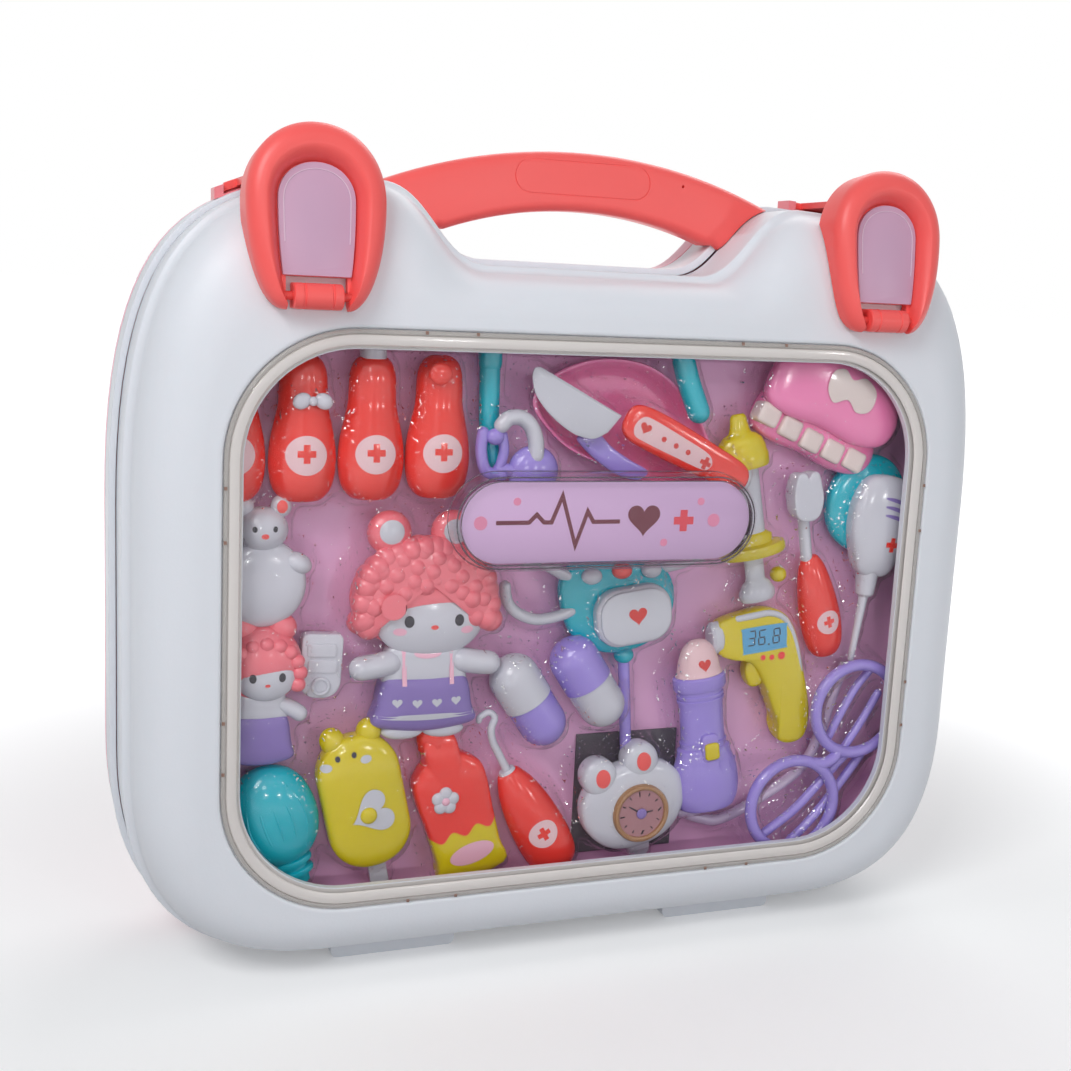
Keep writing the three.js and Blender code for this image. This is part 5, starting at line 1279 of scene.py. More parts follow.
torch_part([(0, 37), (3.4, 36.4), (6.8, 33.4), (8.8, 28.5), (9.6, 24), (9.8, 21.4), (0, 21.4)], 1)
torch_part([(0, 21.8), (10.8, 21.8), (11.8, 21), (11.8, 16.8), (11, 15.6), (0, 15.6)], 0, 1)
torch_part([(0, 15.6), (10.1, 15.6), (9.8, 8), (9.7, 0), (9.9, -7), (10.4, -9.6), (0, -9.6)], 0, 1)
torch_part([(0, -9.4), (10.6, -9.4), (12.2, -13), (14.2, -19), (14.8, -25), (14.4, -31), (12.8, -35.4),
            (10.6, -37), (0, -37)], 0, 3)
for z in (13.2, 11.2, -7.4):
    torch_part([(0, z + 0.5), (10.5, z + 0.5), (10.5, z - 0.5), (0, z - 0.5)], 0, 1)
face = torch.tree()
for k in range(5):
    a = (k - 2) * 5.6
    u, w = leaned(a, -17.5 - 0.16 * abs(a), TL)
    decal(torch, face, spline([(-2.7, 2.2), (0, -2.6), (2.7, 2.2), (0, 3.4)], 4, True),
          (TX[0] + u, TX[1] + w), TL, 2, 0.3)
decal(torch, torch.tree(), heart(3.0), (53.9, -24.8), TL, 3)
puff(torch, spline([(-3.4, -5.4), (-3.9, 0), (-3.4, 5.4), (0, 6.4), (3.4, 5.4), (3.9, 0), (3.4, -5.4),
                    (0, -6.4)], 4, True), (58.4, -60.2), 9.2, 10.4, 12.5, TL, 2, 3)
puff(torch, spline([(-2.9, -3.1), (-3.1, 0), (-2.9, 3.1), (0, 3.7), (2.9, 3.1), (3.1, 0), (2.9, -3.1),
                    (0, -3.7)], 4, True), (58.6, -61), 7.9, 8.8, 12, TL, 4, 3)
finish_toy(torch, "torch_form", [lilac_polystyrene, pale_pad_print, lilac_polystyrene, dark_coral_and_painted_shade,
                                 yellow_polystyrene], ["torch"], "lilac")


# Capsules
# Two-part polystyrene capsules, one half off-white and one lilac. The first half is a little wider,
# where it slips over the other.
CAPSULE_LEAN = -34
for name, x, z, top in (("capsule_left", -21.3, -36.5, 0), ("capsule_right", 4.1, -30.3, 1)):
    pill = toy()
    cap = [(0, 0), (10.3, 0), (10.3, 11.4)] + [(10.3 * math.cos(t), 11.4 + 9.8 * math.sin(t))
                                               for t in quarter(10)[1:]]
    body = [(0, 0.4), (9.8, 0.4), (9.8, -11.4)] + [(9.8 * math.cos(t), -11.4 - 9.6 * math.sin(t))
                                                   for t in quarter(10)[1:]]
    turned(pill, cap, (x, z), 17.6, 1, 1, 0.94, CAPSULE_LEAN, top, 1, 40)
    turned(pill, body, (x, z), 17.6, 1, 1, 0.94, CAPSULE_LEAN, 1 - top, 1, 40)
    finish_toy(pill, name + "_form", [cream_polystyrene, lilac_polystyrene], [name], "cream")


# Chest piece
# The stethoscope's teal polystyrene disc with three round lobes and an off-white cushion-shaped cap
# clipped on it. A side arm and a stem are plugged in.
chest = toy()
DISC = spline([(-25, 2), (-24, 12), (-16, 19), (-4, 20.5), (8, 20), (19, 17), (25, 8), (25, -4),
               (18, -14), (6, -19.5), (-6, -19.5), (-18, -13)], 7, True)
puff(chest, DISC, (15.6, 0.8), 16.6, 20.5, 25.4, 6, 0, 2.8)
CAP = rounded_box(16.6, -12, 12, 10, 10, 10)
puff(chest, CAP, (21, -2.4), 10.2, 13.5, 19.5, -8, 1, 2.6)
puff(chest, scaled(CAP, 0.92, 0.9), (21, -2.4), 9.7, 10.8, 13, -8, 1, 2.6)
for u, w, slot in ((3, 13.5, 1), (16, 15.5, 2), (29, 15.5, 1)):
    ellipsoid(chest, (u, w), 16.8, (4.4, 3, 3.4), 0, slot, 24, 12)
tube(chest, [(-32.6, 19.5, 10), (-31.5, 19.5, 4), (-27, 19.5, -1), (-19, 19.5, -4), (-10, 19.5, -3),
             (-4, 19.5, -1)], 2.3, 1)
tube(chest, [(-24, 20.5, 24), (-15, 20.5, 18), (-6, 20.5, 13)], 2.6, 1)
tube(chest, [(37, 20.5, 16), (46, 20.5, 18), (52, 20.5, 22)], 2.6, 1)
tube(chest, [(20.4, 21, -18), (22, 21, -34), (24.4, 21, -62)], 2.4, 3)
ellipsoid(chest, (20.6, -20.5), 20.5, (4.2, 4.0, 3.6), 0, 0, 24, 12)
decal(chest, chest.tree(), heart(4.2), (21.2, -2.2), -8, 4)
finish_toy(chest, "chest_piece_form", [teal_polystyrene, cream_polystyrene, coral_abs,
                                       lilac_polystyrene, dark_coral_and_painted_shade], ["chest_piece"], "teal")


# Play watch
# An off-white polystyrene case with two round lugs lies on a grey board. A gold-brown ring holds a
# printed dial with two hands, and its ticks are repeated round it.
backing = toy()
backing.loft([[(x, d, z) for x, z in ((4.6, -107.8), (50.5, -107.8), (50.5, -55.8), (4.6, -55.8))]
              for d in (27.7, 27.1)])
# Grey board: matt and slightly fibrous.
grey_board = plastic("grey_board", "5d565f", rough=0.85, bump=0.2)
finish_toy(backing, "watch_card_form", [grey_board], ["watch_card"], "grey_card")
watch = toy()
CASE = spline([(-23, -3), (-22, 8), (-14, 16), (0, 19), (14, 16), (22, 8), (23, -3), (17, -13),
               (7, -18), (-7, -18), (-17, -13)], 7, True)
puff(watch, CASE, (26.8, -83.6), 11.2, 16, 22.4, -14, 0, 3)
for u, w in ((10.6, -70.6), (28.6, -64.6)):
    puff(watch, scaled(oval(1, 1, 40), 7.8, 8.2), (u, w), 11.4, 15.5, 21.6, -10, 0, 2.6)
face = watch.tree()
for u, w in ((10.9, -70.2), (28.7, -64.0)):
    decal(watch, face, oval(3.2, 4.0), (u, w), -10, 1)
dial = (28.4, -86.0)
rim_rings = []
for r, d in ((12.4, 13), (12.4, 10.2), (11.9, 9.4), (11.0, 9.2), (10.3, 9.6), (10.2, 10.6)):
    rim_rings.append(at_depth(shifted(oval(r, r, 60), *dial), d))
watch.loft(rim_rings, 3, (True, False))
watch.loft([at_depth(shifted(oval(r, r, 60), *dial), 10.6) for r in (10.25, 0.3)], 2, (False, True))
for a, reach in ((150, 6.6), (10, 5.2)):
    way = Vector((math.cos(math.radians(a)), math.sin(math.radians(a))))
    cross = Vector((-way.y, way.x))
    quad = [Vector(dial) + way * p + cross * q for p, q in ((-1.2, -0.45), (reach, -0.18),
                                                            (reach, 0.18), (-1.2, 0.45))]
    watch.loft([[(p.x, d, p.y) for p in quad] for d in (10.3, 10.05)], 4)
ellipsoid(watch, dial, 10.0, (2.3, 0.5, 2.3), 0, 5, 24, 8)
strap = spline([(-4.4, 7), (-5, -4), (-3, -8), (0, -9), (3, -8), (5, -4), (4.4, 7)], 4, True)
puff(watch, strap, (31.2, -100.5), 17, 19.5, 23, -12, 0, 3)


def blocks_on_arc(tree, given):
    """Blocks side by side on an arc that faces the front, each turned to the arc."""
    arc = node(tree, "GeometryNodeCurveArc", {"Resolution": given["Count"], "Radius": given["Radius"],
                                              "Start Angle": given["Start"],
                                              "Sweep Angle": given["Sweep"]})
    way = node(tree, "GeometryNodeInputTangent").outputs[0]
    turn = node(tree, "FunctionNodeAlignRotationToVector", {"Vector": way}, axis="X",
                pivot_axis="Z").outputs[0]
    block = node(tree, "GeometryNodeMeshCube", {"Size": given["Block"]})
    on_arc = node(tree, "GeometryNodeInstanceOnPoints", {"Points": arc.outputs[0],
                                                         "Instance": block.outputs[0],
                                                         "Rotation": turn})
    return node(tree, "GeometryNodeTransform", {"Geometry": on_arc.outputs[0],
                                                "Rotation": (math.pi / 2, 0, 0),
                                                "Translation": given["Centre"]}).outputs[0]


for ticks, count, sweep, length in (("watch_ticks", 12, 330, 1.3), ("watch_quarters", 4, 270, 2.2)):
    place(ticks, repeated(ticks, {"Count": count, "Radius": 0.0084, "Start": math.radians(8),
                                  "Sweep": math.radians(sweep),
                                  "Block": (0.0004, length / 1000, 0.0002),
                                  "Centre": tuple(spot(dial[0], 10.5, dial[1]))}, blocks_on_arc,
                          black_pad_print), "root", [])
# Printed dial paper in a brownish pink.
dial_paper = plastic("dial_paper", "b07f86", rough=0.35)
# Gold-brown lacquer on the dial's ring: low warm shine.
gold_lacquer = plastic("gold_lacquer", "a5774e", rough=0.3, coat=0.4)
finish_toy(watch, "watch_form", [cream_polystyrene, coral_abs, dial_paper, gold_lacquer,
                                 black_pad_print, deep_lilac_paint], ["watch"], "cream")


# Pale hose
# A soft PVC hose that lies on the tray behind the torch and the spectacles. Both its ends go under
# other toys.
hose = toy()
tube(hose, [(52.5, 23.5, -92.0), (62.8, 23.5, -96.1), (72.1, 23.5, -97.4), (88.7, 23.5, -90.6),
            (110.1, 23.5, -77.6), (118.8, 23.5, -62.1), (123.4, 23.5, -46.4), (128.1, 23.5, -32.0)],
     2.3)
# Soft pale lilac PVC hose: smooth, with a wet-looking highlight.
pale_lilac_pvc = plastic("pale_lilac_pvc", "d9c3e2", rough=0.2, coat=0.1)
finish_toy(hose, "pale_hose", [pale_lilac_pvc], (), "cream")


# Dental hook
# Polystyrene: a red grip with a badge, and a thin off-white hook and collar, moulded as one and
# plugged into the grip.
hook = toy()
HOOK_LEAN = -30
turned(hook, [(0, -0.5), (0.34, -0.495), (0.66, -0.465), (0.9, -0.38), (1, -0.2), (0.98, -0.02),
              (0.88, 0.18), (0.7, 0.35), (0.5, 0.46), (0.36, 0.5), (0, 0.5)], (-15.5, -88.4), 19.5,
       11.2, 50, 0.74, HOOK_LEAN, 0)
turned(hook, [(0, -0.5), (1, -0.5), (1.15, 0), (0.9, 0.5), (0, 0.5)], (-27.4, -67.8), 19.5, 3.6, 5, 0.8,
       HOOK_LEAN, 1, 1, 28)
tube(hook, [(-28.4, 19.4, -66), (-31.8, 19.2, -59.5), (-35.2, 18.6, -53), (-36.2, 18, -47.6),
            (-35, 18, -43.2), (-37.6, 18, -40.8), (-41, 18, -42.4), (-41.6, 18, -44)], 1.75, 1, 14, 8,
     0.7)
face = hook.tree()
decal(hook, face, oval(6.2, 5.8), (-14.0, -91.5), HOOK_LEAN, 2)
decal(hook, hook.tree(), plus(2.8), (-14.0, -91.3), HOOK_LEAN, 0, 0.1)
finish_toy(hook, "dental_hook_form", [red_polystyrene, cream_polystyrene, pale_pad_print],
           ["dental_hook"], "red")


# Cream tube
# A flattened polystyrene tube, sprayed red above and yellow below a waved line, with a white flower
# moulded on and a plain pale oval printed on the foot.
paste = toy()
PASTE_LEAN = -17
TUBE = spline([(12.8, -31), (13.6, -20), (14.2, -6), (15, 6), (14.2, 14), (9.4, 19.4), (7.4, 21.4),
               (7, 27), (5.4, 30.4), (0, 31.4), (-5.4, 30.4), (-7, 27), (-7.4, 21.4), (-9.4, 19.4),
               (-14.2, 14), (-15, 6), (-14.2, -6), (-13.6, -20), (-12.8, -31)], 4, True)
puff(paste, TUBE, (-50, -78), 13.6, 17.4, 27, PASTE_LEAN, 0, 3)
face = paste.tree()
decal(paste, paste.tree(), oval(9.4, 4.4), (-43.4, -97.6), PASTE_LEAN, 3, 0.15)
for k in range(5):
    a = 2 * math.pi * k / 5 + 0.3
    ellipsoid(paste, (-55.6 + 3.1 * math.cos(a), -74.6 + 3.1 * math.sin(a)), 13.4, (2.7, 1.3, 2.7), 0,
              2, 18, 8)
ellipsoid(paste, (-55.6, -74.6), 12.9, (1.8, 1.3, 1.8), 0, 3, 16, 8)
turned(paste, [(0, -0.5), (0.95, -0.5), (1, -0.2), (0.9, 0.35), (0.5, 0.5), (0, 0.5)], (-59.6, -49.8),
       20, 7, 9, 0.75, PASTE_LEAN, 0, 2, 30)


def two_tone(name, first, second, place, lean, wave=0.0, **kind):
    """Plastic in two colours that meet across a straight or waved line in the front view."""
    material = plastic(name, first, **kind)
    tree = material.node_tree
    shader = tree.nodes["Principled BSDF"]
    where = node(tree, "ShaderNodeTexCoord").outputs["Object"]
    turn = math.radians(lean)
    spot_here = (place[0] / 1000, 0, (place[1] + WINDOW_Z) / 1000)
    moved = node(tree, "ShaderNodeVectorMath", {0: where, 1: spot_here},
                 operation="SUBTRACT").outputs["Vector"]
    along = node(tree, "ShaderNodeVectorMath", {0: moved, 1: (math.sin(turn), 0, math.cos(turn))},
                 operation="DOT_PRODUCT").outputs["Value"]
    across = node(tree, "ShaderNodeVectorMath", {0: moved, 1: (math.cos(turn), 0, -math.sin(turn))},
                  operation="DOT_PRODUCT").outputs["Value"]
    turns = node(tree, "ShaderNodeMath", {0: across, 1: 620.0}, operation="MULTIPLY").outputs[0]
    sway = node(tree, "ShaderNodeMath", {0: turns}, operation="COSINE").outputs[0]
    height = node(tree, "ShaderNodeMath", {0: sway, 1: wave / 1000, 2: along},
                  operation="MULTIPLY_ADD").outputs[0]
    step = node(tree, "ShaderNodeMapRange", {"Value": height, "From Min": -0.00012,
                                             "From Max": 0.00012}).outputs[0]
    mix = node(tree, "ShaderNodeMix", {"Factor": step}, data_type="RGBA")
    mix.inputs[MIX_A].default_value = linear(second)
    source = shader.inputs["Base Color"].links[0].from_socket
    tree.links.new(source, mix.inputs[MIX_B])
    tree.links.new(mix.outputs[2], shader.inputs["Base Color"])
    return material


# Glossy spray paint in red and yellow: the colours meet in a waved line, under one even shine.
red_yellow_paint = two_tone("red_yellow_paint", "f5352a", "dec800", (-46.6, -88.4), PASTE_LEAN, 1.6,
                            soft=0.05, **GLOSSY)
# Pale rose paint for cheeks, straps and labels.
rose_paint = plastic("rose_paint", "f3b9cf", rough=0.3, coat=0.4)
finish_toy(paste, "cream_tube_form", [red_yellow_paint, yellow_polystyrene, cream_polystyrene,
                                      rose_paint], ["cream_tube"], "red")


# Bonnet doll
# A vinyl doll: a curly pink bonnet with round ears round a plain off-white face. The blouse and the
# deep lilac skirt are one painted body, and the doll lies in the tray under the film.
doll = toy()
HOOD = [(-28, -2), (-29, 8), (-25, 20), (-14, 28), (0, 31), (14, 28), (24.5, 20), (28.4, 8), (27.6, -3),
        (22.5, -4.5)]
HOOD += [(20.8, 1.6), (16.6, 3.2), (12.6, 7.2), (7.6, 8.0), (1.6, 10.8), (-4.6, 8.6), (-9.6, 8.4),
         (-13.6, 4.2), (-18, 2.8), (-21, -2.6), (-24, -7)]
hood_line = spline(HOOD, 5, True)
HOOD_X, HOOD_Z = -65.6, 14
ellipsoid(doll, (-66.4, 8.0), 18.4, (28.6, 8.4, 21.2), 0, 0, 56, 30)
hood_form = Form(WINDOW_Z)
puff(hood_form, shifted(hood_line, 0, -HOOD_Z), (HOOD_X, HOOD_Z), 9.0, 13.6, 21, 0, 0, 2.3, 16)
doll.add(hood_form.points, hood_form.faces, 0)

# Rotationally moulded pink vinyl: soft shine that rolls over each curl.
pink_vinyl = plastic("pink_vinyl", "f67785", rough=0.3, coat=0.3, soft=0.1)


def curls(tree, given):
    """Round curls strewn over a form, never nearer to each other than the gap."""
    strewn = node(tree, "GeometryNodeDistributePointsOnFaces",
                  {"Mesh": given["Geometry"], "Distance Min": given["Gap"], "Density Max": 400000.0,
                   "Seed": given["Seed"]}, distribute_method="POISSON")
    inward = node(tree, "ShaderNodeVectorMath", {0: strewn.outputs["Normal"], "Scale": given["Sunk"]},
                  operation="SCALE")
    sunk = node(tree, "GeometryNodeSetPosition", {"Geometry": strewn.outputs[0],
                                                  "Offset": inward.outputs[0]})
    curl = node(tree, "GeometryNodeMeshIcoSphere", {"Radius": given["Curl"], "Subdivisions": 3})
    return node(tree, "GeometryNodeInstanceOnPoints", {"Points": sunk.outputs[0],
                                                       "Instance": curl.outputs[0]}).outputs[0]


# The curls stay behind the window.
BEHIND_WINDOW = 7.95
fleece = repeated("bonnet_curls", {"Gap": 0.0054, "Curl": 0.005, "Sunk": -0.0041, "Seed": 7}, curls,
                  pink_vinyl, hood_form.mesh("bonnet"))
doll.add([(v.co.x * 1000, max(BEHIND_WINDOW, v.co.y * 1000 - DEPTH_SHIFT), v.co.z * 1000 - WINDOW_Z)
          for v in fleece.vertices], [list(p.vertices) for p in fleece.polygons], 0)
ellipsoid(doll, (-64.2, -1.6), 14.8, (21.4, 5.6, 14.4), 0, 1, 48, 24)
for side, x in ((-1, -78.6), (1, -57.6)):
    ellipsoid(doll, (x + 2 * side, 32.6), 17.2, (8.6, 5.4, 8.4), side * 7, 0, 32, 16)
face = doll.tree()
for side, x in ((-1, -78.6), (1, -57.6)):
    decal(doll, face, oval(4.8, 4.6), (x + 2 * side, 33.4), side * 7, 1)
for x in (-73.6, -53.8):
    decal(doll, face, oval(1.9, 2.3), (x, -0.6), 0, 3)
    decal(doll, face, oval(2.6, 1.5), (x - 3.4 if x < -60 else x + 3.4, -4.6), 0, 4)
decal(doll, face, oval(1.5, 0.9), (-63.7, -3.0), 0, 5)
finish_toy(doll, "doll_head_form", [pink_vinyl, cream_polystyrene, rose_paint, black_pad_print,
                                    rose_paint, coral_abs], ["doll_head"], "coral")
gown = toy()
DOLL_X = -65.3
BLOUSE = spline([(-14, 9), (0, 11), (14, 9), (16, 0), (15.5, -7), (0, -8.6), (-15.5, -7), (-16, 0)], 6,
                True)
SKIRT = spline([(-15.4, 8), (0, 9.4), (15.4, 8), (19.2, -4), (20.8, -10.4), (12, -13), (0, -14),
                (-12, -13), (-20.8, -10.4), (-19.2, -4)], 6, True)
puff(gown, BLOUSE, (DOLL_X, -20.4), 11.6, 16, 24.4, 0, 1, 2.6)
puff(gown, SKIRT, (DOLL_X, -31.4), 10.6, 15.6, 25, 0, 0, 2.8)
for side in (-1, 1):
    tube(gown, [(DOLL_X + side * 14, 15.6, -17.6), (DOLL_X + side * 20, 14.6, -18.6),
                (DOLL_X + side * 25.4, 14.4, -19.2)], 4.9, 1, 20, 6, 0.96)
    puff(gown, scaled(oval(1, 1, 36), 8.6, 3.4), (DOLL_X + side * 8.2, -45.4), 13.6, 17, 23.5, 0, 1,
         2.8)
face = gown.tree()
for side in (-1, 1):
    decal(gown, face, [(-0.9, 7), (0.9, 7), (1.3, -7), (-0.5, -7)], (DOLL_X + side * 9.4, -19.2), 0, 2,
          0.15, (1, 0.5, 0.05))
decal(gown, face, oval(5.4, 1.9), (DOLL_X, -13.8), 0, 2, 0.2)
hem = [(-19.2 + 38.4 * i / 20, -1.9 * math.cos((i - 10) / 10 * 1.2)) for i in range(21)]
decal(gown, face, shifted(hem, 0, 0.5) + shifted(hem[::-1], 0, -0.5), (DOLL_X, -37.6), 0, 1, 0.15,
      (1, 0.5, 0.05))
for k in range(4):
    decal(gown, face, heart(2.1), (-77 + 7.8 * k, -33.0 - 0.5 * math.sin(math.pi * k / 3)), 0, 1, 0.15)
finish_toy(gown, "doll_body_form", [deep_lilac_paint, cream_polystyrene, rose_paint], ["doll_body"],
           "lilac")


# Small bonnet doll
# The same vinyl doll in small at the left edge, where the tray cuts it off. Its curls are separate
# round knobs along the bonnet's edge.
mini = toy()
ellipsoid(mini, (-127.6, -16.4), 17.0, (15, 8.4, 15), 0, 0, 40, 22)
for k in range(11):
    a = math.radians(200 - 220 * k / 10)
    ellipsoid(mini, (-127 + 12.6 * math.cos(a), -19.4 + 11.6 * math.sin(a)),
              11.6 + 0.8 * abs(math.cos(a)), (3.1, 2.4, 2.9), 0, 0, 18, 10)
ellipsoid(mini, (-126.8, -20.6), 12.6, (11, 4.2, 8.6), 0, 1, 36, 18)
for side, x in ((-1, -134.8), (1, -120.4)):
    ellipsoid(mini, (x, -2.6), 17, (5.6, 3.8, 5.4), side * 6, 0, 24, 12)
puff(mini, scaled(SKIRT, 0.62, 0.86), (-128.6, -42.6), 11, 15, 23.4, 0, 3, 2.8)
puff(mini, scaled(BLOUSE, 0.6, 0.7), (-128.4, -32.6), 11.8, 15.6, 23, 0, 1, 2.6)
tube(mini, [(-120.5, 15.4, -31.6), (-116.5, 15, -33.5), (-113.8, 15, -35.4)], 3.1, 1, 16, 5)
face = mini.tree()
for x in (-132.2, -121.4):
    decal(mini, face, oval(1.3, 1.7), (x, -19.6), 0, 4)
decal(mini, face, oval(1.0, 0.6), (-126.8, -22.4), 0, 2)
finish_toy(mini, "small_doll_form", [pink_vinyl, cream_polystyrene, coral_abs, deep_lilac_paint,
                                     black_pad_print], ["small_doll"], "coral")


# White figure, squeeze bulb, ice lolly and pill box
# Small polystyrene mouldings along the left edge and the bottom: an off-white figure, a ribbed teal
# bulb, a yellow lolly on a stick and an off-white box with two wells. They lie in the tray.
figure = toy()
puff(figure, scaled(oval(1, 1, 48), 16, 16.4), (-128, 14.6), 11.4, 16, 24, 0, 0, 2.4)
ellipsoid(figure, (-128.4, 34.6), 16.6, (9.6, 7.2, 8.4), 0, 0, 36, 18)
for x in (-135.2, -121.6):
    ellipsoid(figure, (x, 43.0), 16.8, (3.9, 3.4, 4.1), 0, 0, 22, 12)
ellipsoid(figure, (-115.4, 22), 15.6, (5.6, 4.4, 3.9), 24, 0, 24, 12)
face = figure.tree()
for x in (-132, -124.6):
    decal(figure, face, oval(0.9, 1.1), (x, 35.6), 0, 1)
decal(figure, face, oval(1.4, 1.0), (-128.3, 33), 0, 2)
decal(figure, face, oval(2.0, 2.4), (-121.6, 43.2), 0, 2)
finish_toy(figure, "white_figure_form", [cream_polystyrene, black_pad_print, coral_abs],
           ["white_figure"], "cream")

bulb = toy()
BULB_AT, BULB_LEAN = (-120.6, -80.6), -19
turned(bulb, [(0, -0.5), (0.3, -0.5), (0.31, -0.43), (0.46, -0.42), (0.47, -0.38), (0.35, -0.37),
              (0.36, -0.34), (0.5, -0.33), (0.51, -0.29), (0.42, -0.28), (0.6, -0.25), (0.86, -0.14),
              (0.99, 0), (1, 0.14), (0.9, 0.3), (0.66, 0.42), (0.3, 0.49), (0, 0.5)], BULB_AT, 17.6,
       16.4, 50, 0.6, BULB_LEAN, 0, 2, 44)
for k in range(5):
    a = (k - 2) * 5.4
    rib = []
    for share, height, drawn_in in ((0.72, 17, 0.74), (0.98, 8, 0.97), (0.96, 0, 0.97),
                                    (0.66, -9, 0.7)):
        u, w = leaned(a * share, height, BULB_LEAN)
        proud = 9.9 * math.cos(math.asin(max(-1, min(1, a * share / 16.4)))) * drawn_in
        rib.append((BULB_AT[0] + u, 17.6 - proud, BULB_AT[1] + w))
    tube(bulb, rib, 0.45, 0, 8, 4)
finish_toy(bulb, "squeeze_bulb_form", [teal_polystyrene], ["squeeze_bulb"], "teal")

lolly = toy()
LOLLY = rounded_box(16.2, -27, 27, 15.2, 15.6, 12)
LOLLY_AT, LOLLY_LEAN = (-87.8, -72.4), -12.5
puff(lolly, LOLLY, LOLLY_AT, 10.2, 15, 25, LOLLY_LEAN, 0, 2.6)
for side in (-1, 1):
    u, w = leaned(side * 7.2, 26.4, LOLLY_LEAN)
    ellipsoid(lolly, (LOLLY_AT[0] + u, LOLLY_AT[1] + w), 17.4, (4.9, 4.6, 5.4), side * 8 - 12, 0, 26,
              14)
u, w = leaned(0, -31, LOLLY_LEAN)
puff(lolly, rounded_box(3.6, -7, 7, 3, 1, 5), (LOLLY_AT[0] + u, LOLLY_AT[1] + w), 16.6, 17.4, 19.6,
     LOLLY_LEAN, 1, 5)
face = lolly.tree()
decal(lolly, face, heart(9.4), (-86.4, -76.0), 62, 1, 0.5, (1, 0.97, 0.85, 0.65, 0.4, 0.12))
ellipsoid(lolly, (-87.2, -76.4), 9.7, (3.3, 1.5, 3.3), 0, 2, 24, 12)
for u, w in ((-99.4, -53.6), (-93.2, -52.2)):
    decal(lolly, face, oval(1.0, 1.2), (u, w), 0, 3)
decal(lolly, face, oval(2.2, 1.6), (-103.6, -57.2), -12, 4)
decal(lolly, face, oval(2.2, 1.6), (-88.6, -54.0), -12, 4)
finish_toy(lolly, "ice_lolly_form", [yellow_polystyrene, cream_polystyrene, yellow_polystyrene,
                                     black_pad_print, cream_polystyrene], ["ice_lolly"], "yellow")

box = toy()
puff(box, rounded_box(7.8, -12.4, 12.4, 6.4, 2.4, 8), (-105.1, -18.5), 17.4, 18.4, 26.2, 3, 0, 6)
for k, w in enumerate((6.4, 0.2)):
    puff(box, rounded_box(5.6, -2.5, 2.5, 1, 1, 5), (-105.1 + 0.3 * k, -18.7 + w), 16.7, 17.2, 18.6, 3,
         0, 6)


def round_path(x, depth, z, rx, rz, degrees):
    """A closed round path for a tube."""
    return [(x + rx * math.cos(math.radians(a)), depth, z + rz * math.sin(math.radians(a)))
            for a in range(0, 361, degrees)]


tube(box, round_path(-105.4, 17.2, -26.2, 3.0, 3.0, 30), 0.8, 0, 12, 3)
finish_toy(box, "pill_box_form", [cream_polystyrene], ["pill_box"], "cream")


# Spectacles
# Lilac polystyrene: two round rims and a bridge, moulded as one, with arms of round rod folded
# behind them.
glasses = toy()
for u, w, rx, rz in ((100.2, -88.6, 20.2, 20.0), (128.4, -47.2, 20.2, 19.6)):
    tube(glasses, round_path(u, 10.8, w, rx, rz, 12), 2.5, 0, 16, 3)
tube(glasses, [(108.6, 10.8, -70.2), (114, 10.2, -70.5), (118.8, 10.2, -68.2), (120.8, 10.8, -65)], 2.4)
tube(glasses, [(90, 14.5, -101.6), (104, 14.5, -92), (118, 14.5, -78), (128.5, 14.5, -67.5)], 2.0, 0,
     14, 6)
tube(glasses, [(101.4, 14.5, -107.6), (112, 14.5, -98), (124, 14.5, -84), (134.8, 14.5, -69.8)], 2.0, 0,
     14, 6)
tube(glasses, [(118, 14.5, -60), (124, 14.5, -48), (130, 14.5, -38), (137, 14.5, -30)], 1.8, 0, 14, 6)
tube(glasses, [(126, 14.5, -66), (134, 14.5, -54), (141, 14.5, -42)], 1.8, 0, 14, 6)
finish_toy(glasses, "spectacles_form", [lilac_polystyrene], ["spectacles"], "lilac")


# Tray
# A pink card with a folded wall, fitted in the rear half behind the instruments. Its shape is the CAD
# model's own, as no more of it shows than a plain floor.
# Pink card: matt, with a faint cloudiness of the board.
pink_card = plastic("pink_card", "e8b0d8", rough=0.5, tint=0.06)
nodes["inner_tray"].data.materials.clear()
nodes["inner_tray"].data.materials.append(pink_card)


# Blister
# A PET sheet, vacuum-formed down over the instruments. It is a height field that keeps just in front of
# them and is rounded where it bends down to the card between them.
STEP = 1.2
CARD_DEPTH = 27.2
FILM_FRONT, FILM_BACK = 7.3, 26.9
xs = np.arange(-157.2, 157.3, STEP)
zs = np.arange(-115.2, 106.9, STEP)
all_points, all_faces = [], []
for form in toys:
    base = len(all_points)
    all_points += [Vector(p) for p in form.points]
    all_faces += [[i + base for i in f] for f in form.faces]
everything = BVHTree.FromPolygons(all_points, all_faces)
top = np.full((len(zs), len(xs)), CARD_DEPTH)
for j, z in enumerate(zs):
    for i, x in enumerate(xs):
        hit = everything.ray_cast(Vector((x, RAY_START, z)), Vector((0, 1, 0)))[0]
        if hit:
            top[j, i] = min(hit.y, CARD_DEPTH)


def spread(field, by, choose):
    """The field's least or greatest value within some steps of each place."""
    out = field.copy()
    for a in range(-by, by + 1):
        for b in range(-by, by + 1):
            if a * a + b * b <= by * by + 1:
                out = choose(out, np.roll(np.roll(field, a, 0), b, 1))
    return out


near = spread(top, 2, np.minimum)


def blur(field, times):
    """The field, softened a number of times."""
    for _ in range(times):
        padded = np.pad(field, 1, mode="edge")
        field = sum(padded[1 + a:len(zs) + 1 + a, 1 + b:len(xs) + 1 + b] * w
                    for a, b, w in ((0, 0, 0.25), (1, 0, 0.125), (-1, 0, 0.125), (0, 1, 0.125),
                                    (0, -1, 0.125), (1, 1, 0.0625), (1, -1, 0.0625), (-1, 1, 0.0625),
                                    (-1, -1, 0.0625)))
    return field


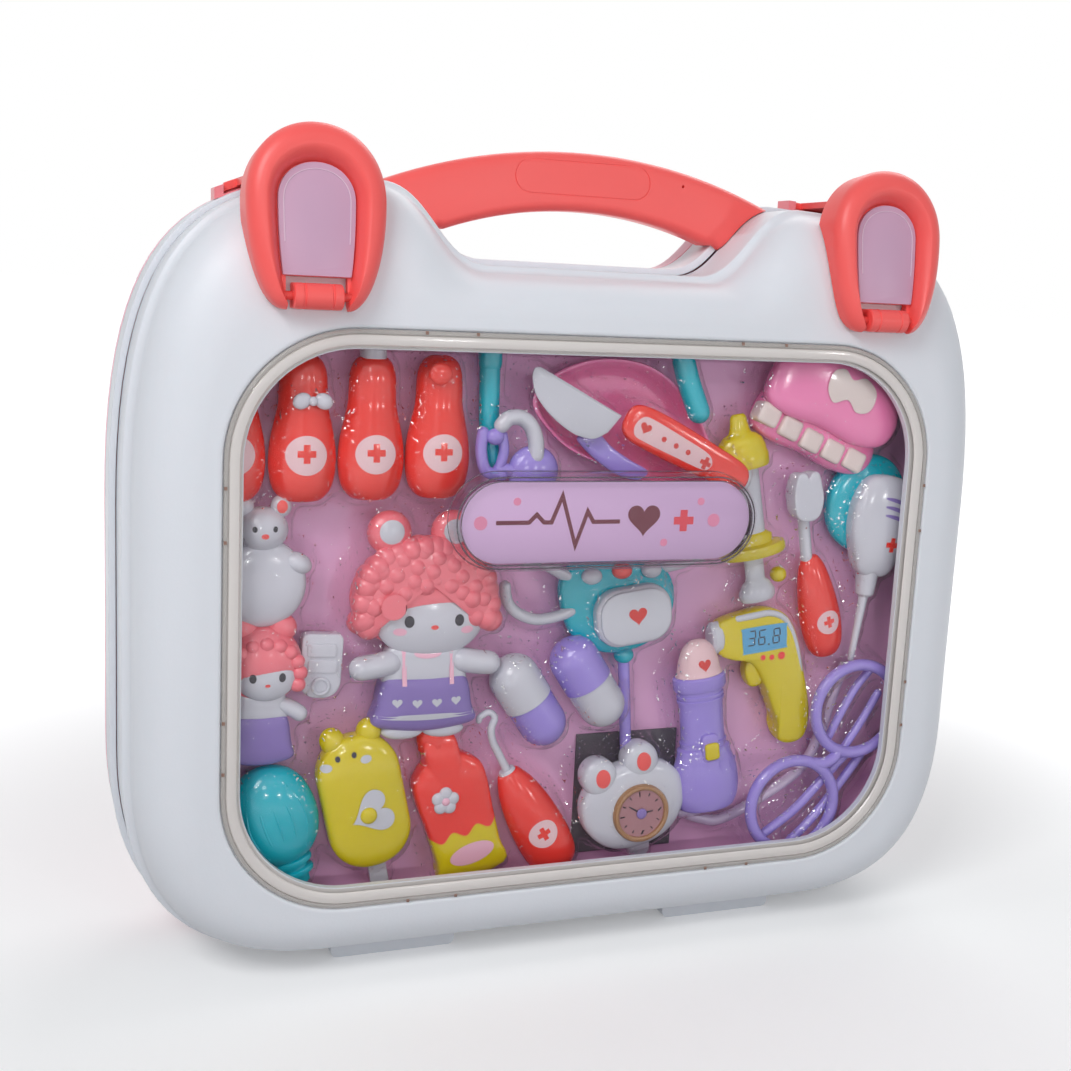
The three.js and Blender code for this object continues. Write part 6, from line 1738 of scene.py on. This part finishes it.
drawn = blur(near, 3)
ripple = np.array([[noise.noise(Vector((x * 0.11, z * 0.11, 3.1))) for x in xs] for z in zs])
drawn = np.minimum(drawn - 0.35 + 0.25 * ripple, spread(top, 1, np.minimum) - 0.45)
drawn = np.clip(drawn, FILM_FRONT, FILM_BACK)
edge_outline = rounded_box(157, -115, 105.6, 70, 27, 12)
inside = np.zeros(drawn.shape, bool)
for j, z in enumerate(zs):
    crossings = []
    for (x0, z0), (x1, z1) in zip(edge_outline, edge_outline[1:] + edge_outline[:1]):
        if (z0 > z) != (z1 > z):
            crossings.append(x0 + (z - z0) * (x1 - x0) / (z1 - z0))
    if len(crossings) >= 2:
        inside[j] = (xs > min(crossings)) & (xs < max(crossings))
blister = toy()
index = -np.ones(drawn.shape, int)
points = []
for j in range(len(zs)):
    for i in range(len(xs)):
        if inside[j, i]:
            index[j, i] = len(points)
            points.append((xs[i], drawn[j, i], zs[j]))
faces = [[int(index[j, i]), int(index[j, i + 1]), int(index[j + 1, i + 1]), int(index[j + 1, i])]
         for j in range(len(zs) - 1) for i in range(len(xs) - 1)
         if min(index[j, i], index[j, i + 1], index[j + 1, i + 1], index[j + 1, i]) >= 0]
blister.add(points, faces)
# Vacuum-formed PET: wavy, so that small lamps break into sparkles on it.
blister_pet = clear("blister_pet", rough=0.05, shine=0.35, bump=0.8, scale=190)
# Where it bends down between the toys it has small creases: specks that shine fully.
creases = blister_pet.node_tree
share_node = next(n for n in creases.nodes if n.type == "MIX_SHADER")
spread_out = node(creases, "ShaderNodeTexCoord").outputs
fine = node(creases, "ShaderNodeTexNoise", {"Vector": spread_out["Object"], "Scale": 760.0,
                                            "Detail": 1.0})
spots = node(creases, "ShaderNodeMapRange", {"Value": fine.outputs["Fac"], "From Min": 0.64,
                                             "From Max": 0.7})
level_share = node(creases, "ShaderNodeVectorMath", {0: spread_out["Normal"], 1: (0, -1, 0)},
                   operation="DOT_PRODUCT")
upright_share = node(creases, "ShaderNodeMath", {0: level_share.outputs["Value"]}, operation="ABSOLUTE")
slope = node(creases, "ShaderNodeMapRange", {"Value": upright_share.outputs[0], "From Min": 0.95,
                                             "From Max": 0.75})
sparkle = node(creases, "ShaderNodeMath", {0: spots.outputs[0], 1: slope.outputs[0]},
               operation="MULTIPLY")
most = node(creases, "ShaderNodeMath", {0: sparkle.outputs[0],
                                        1: share_node.inputs[0].links[0].from_socket},
            operation="MAXIMUM")
creases.links.new(most.outputs[0], share_node.inputs[0])
blister.piece("blister_film", "root", [blister_pet], ["blister"], "clear", 180)
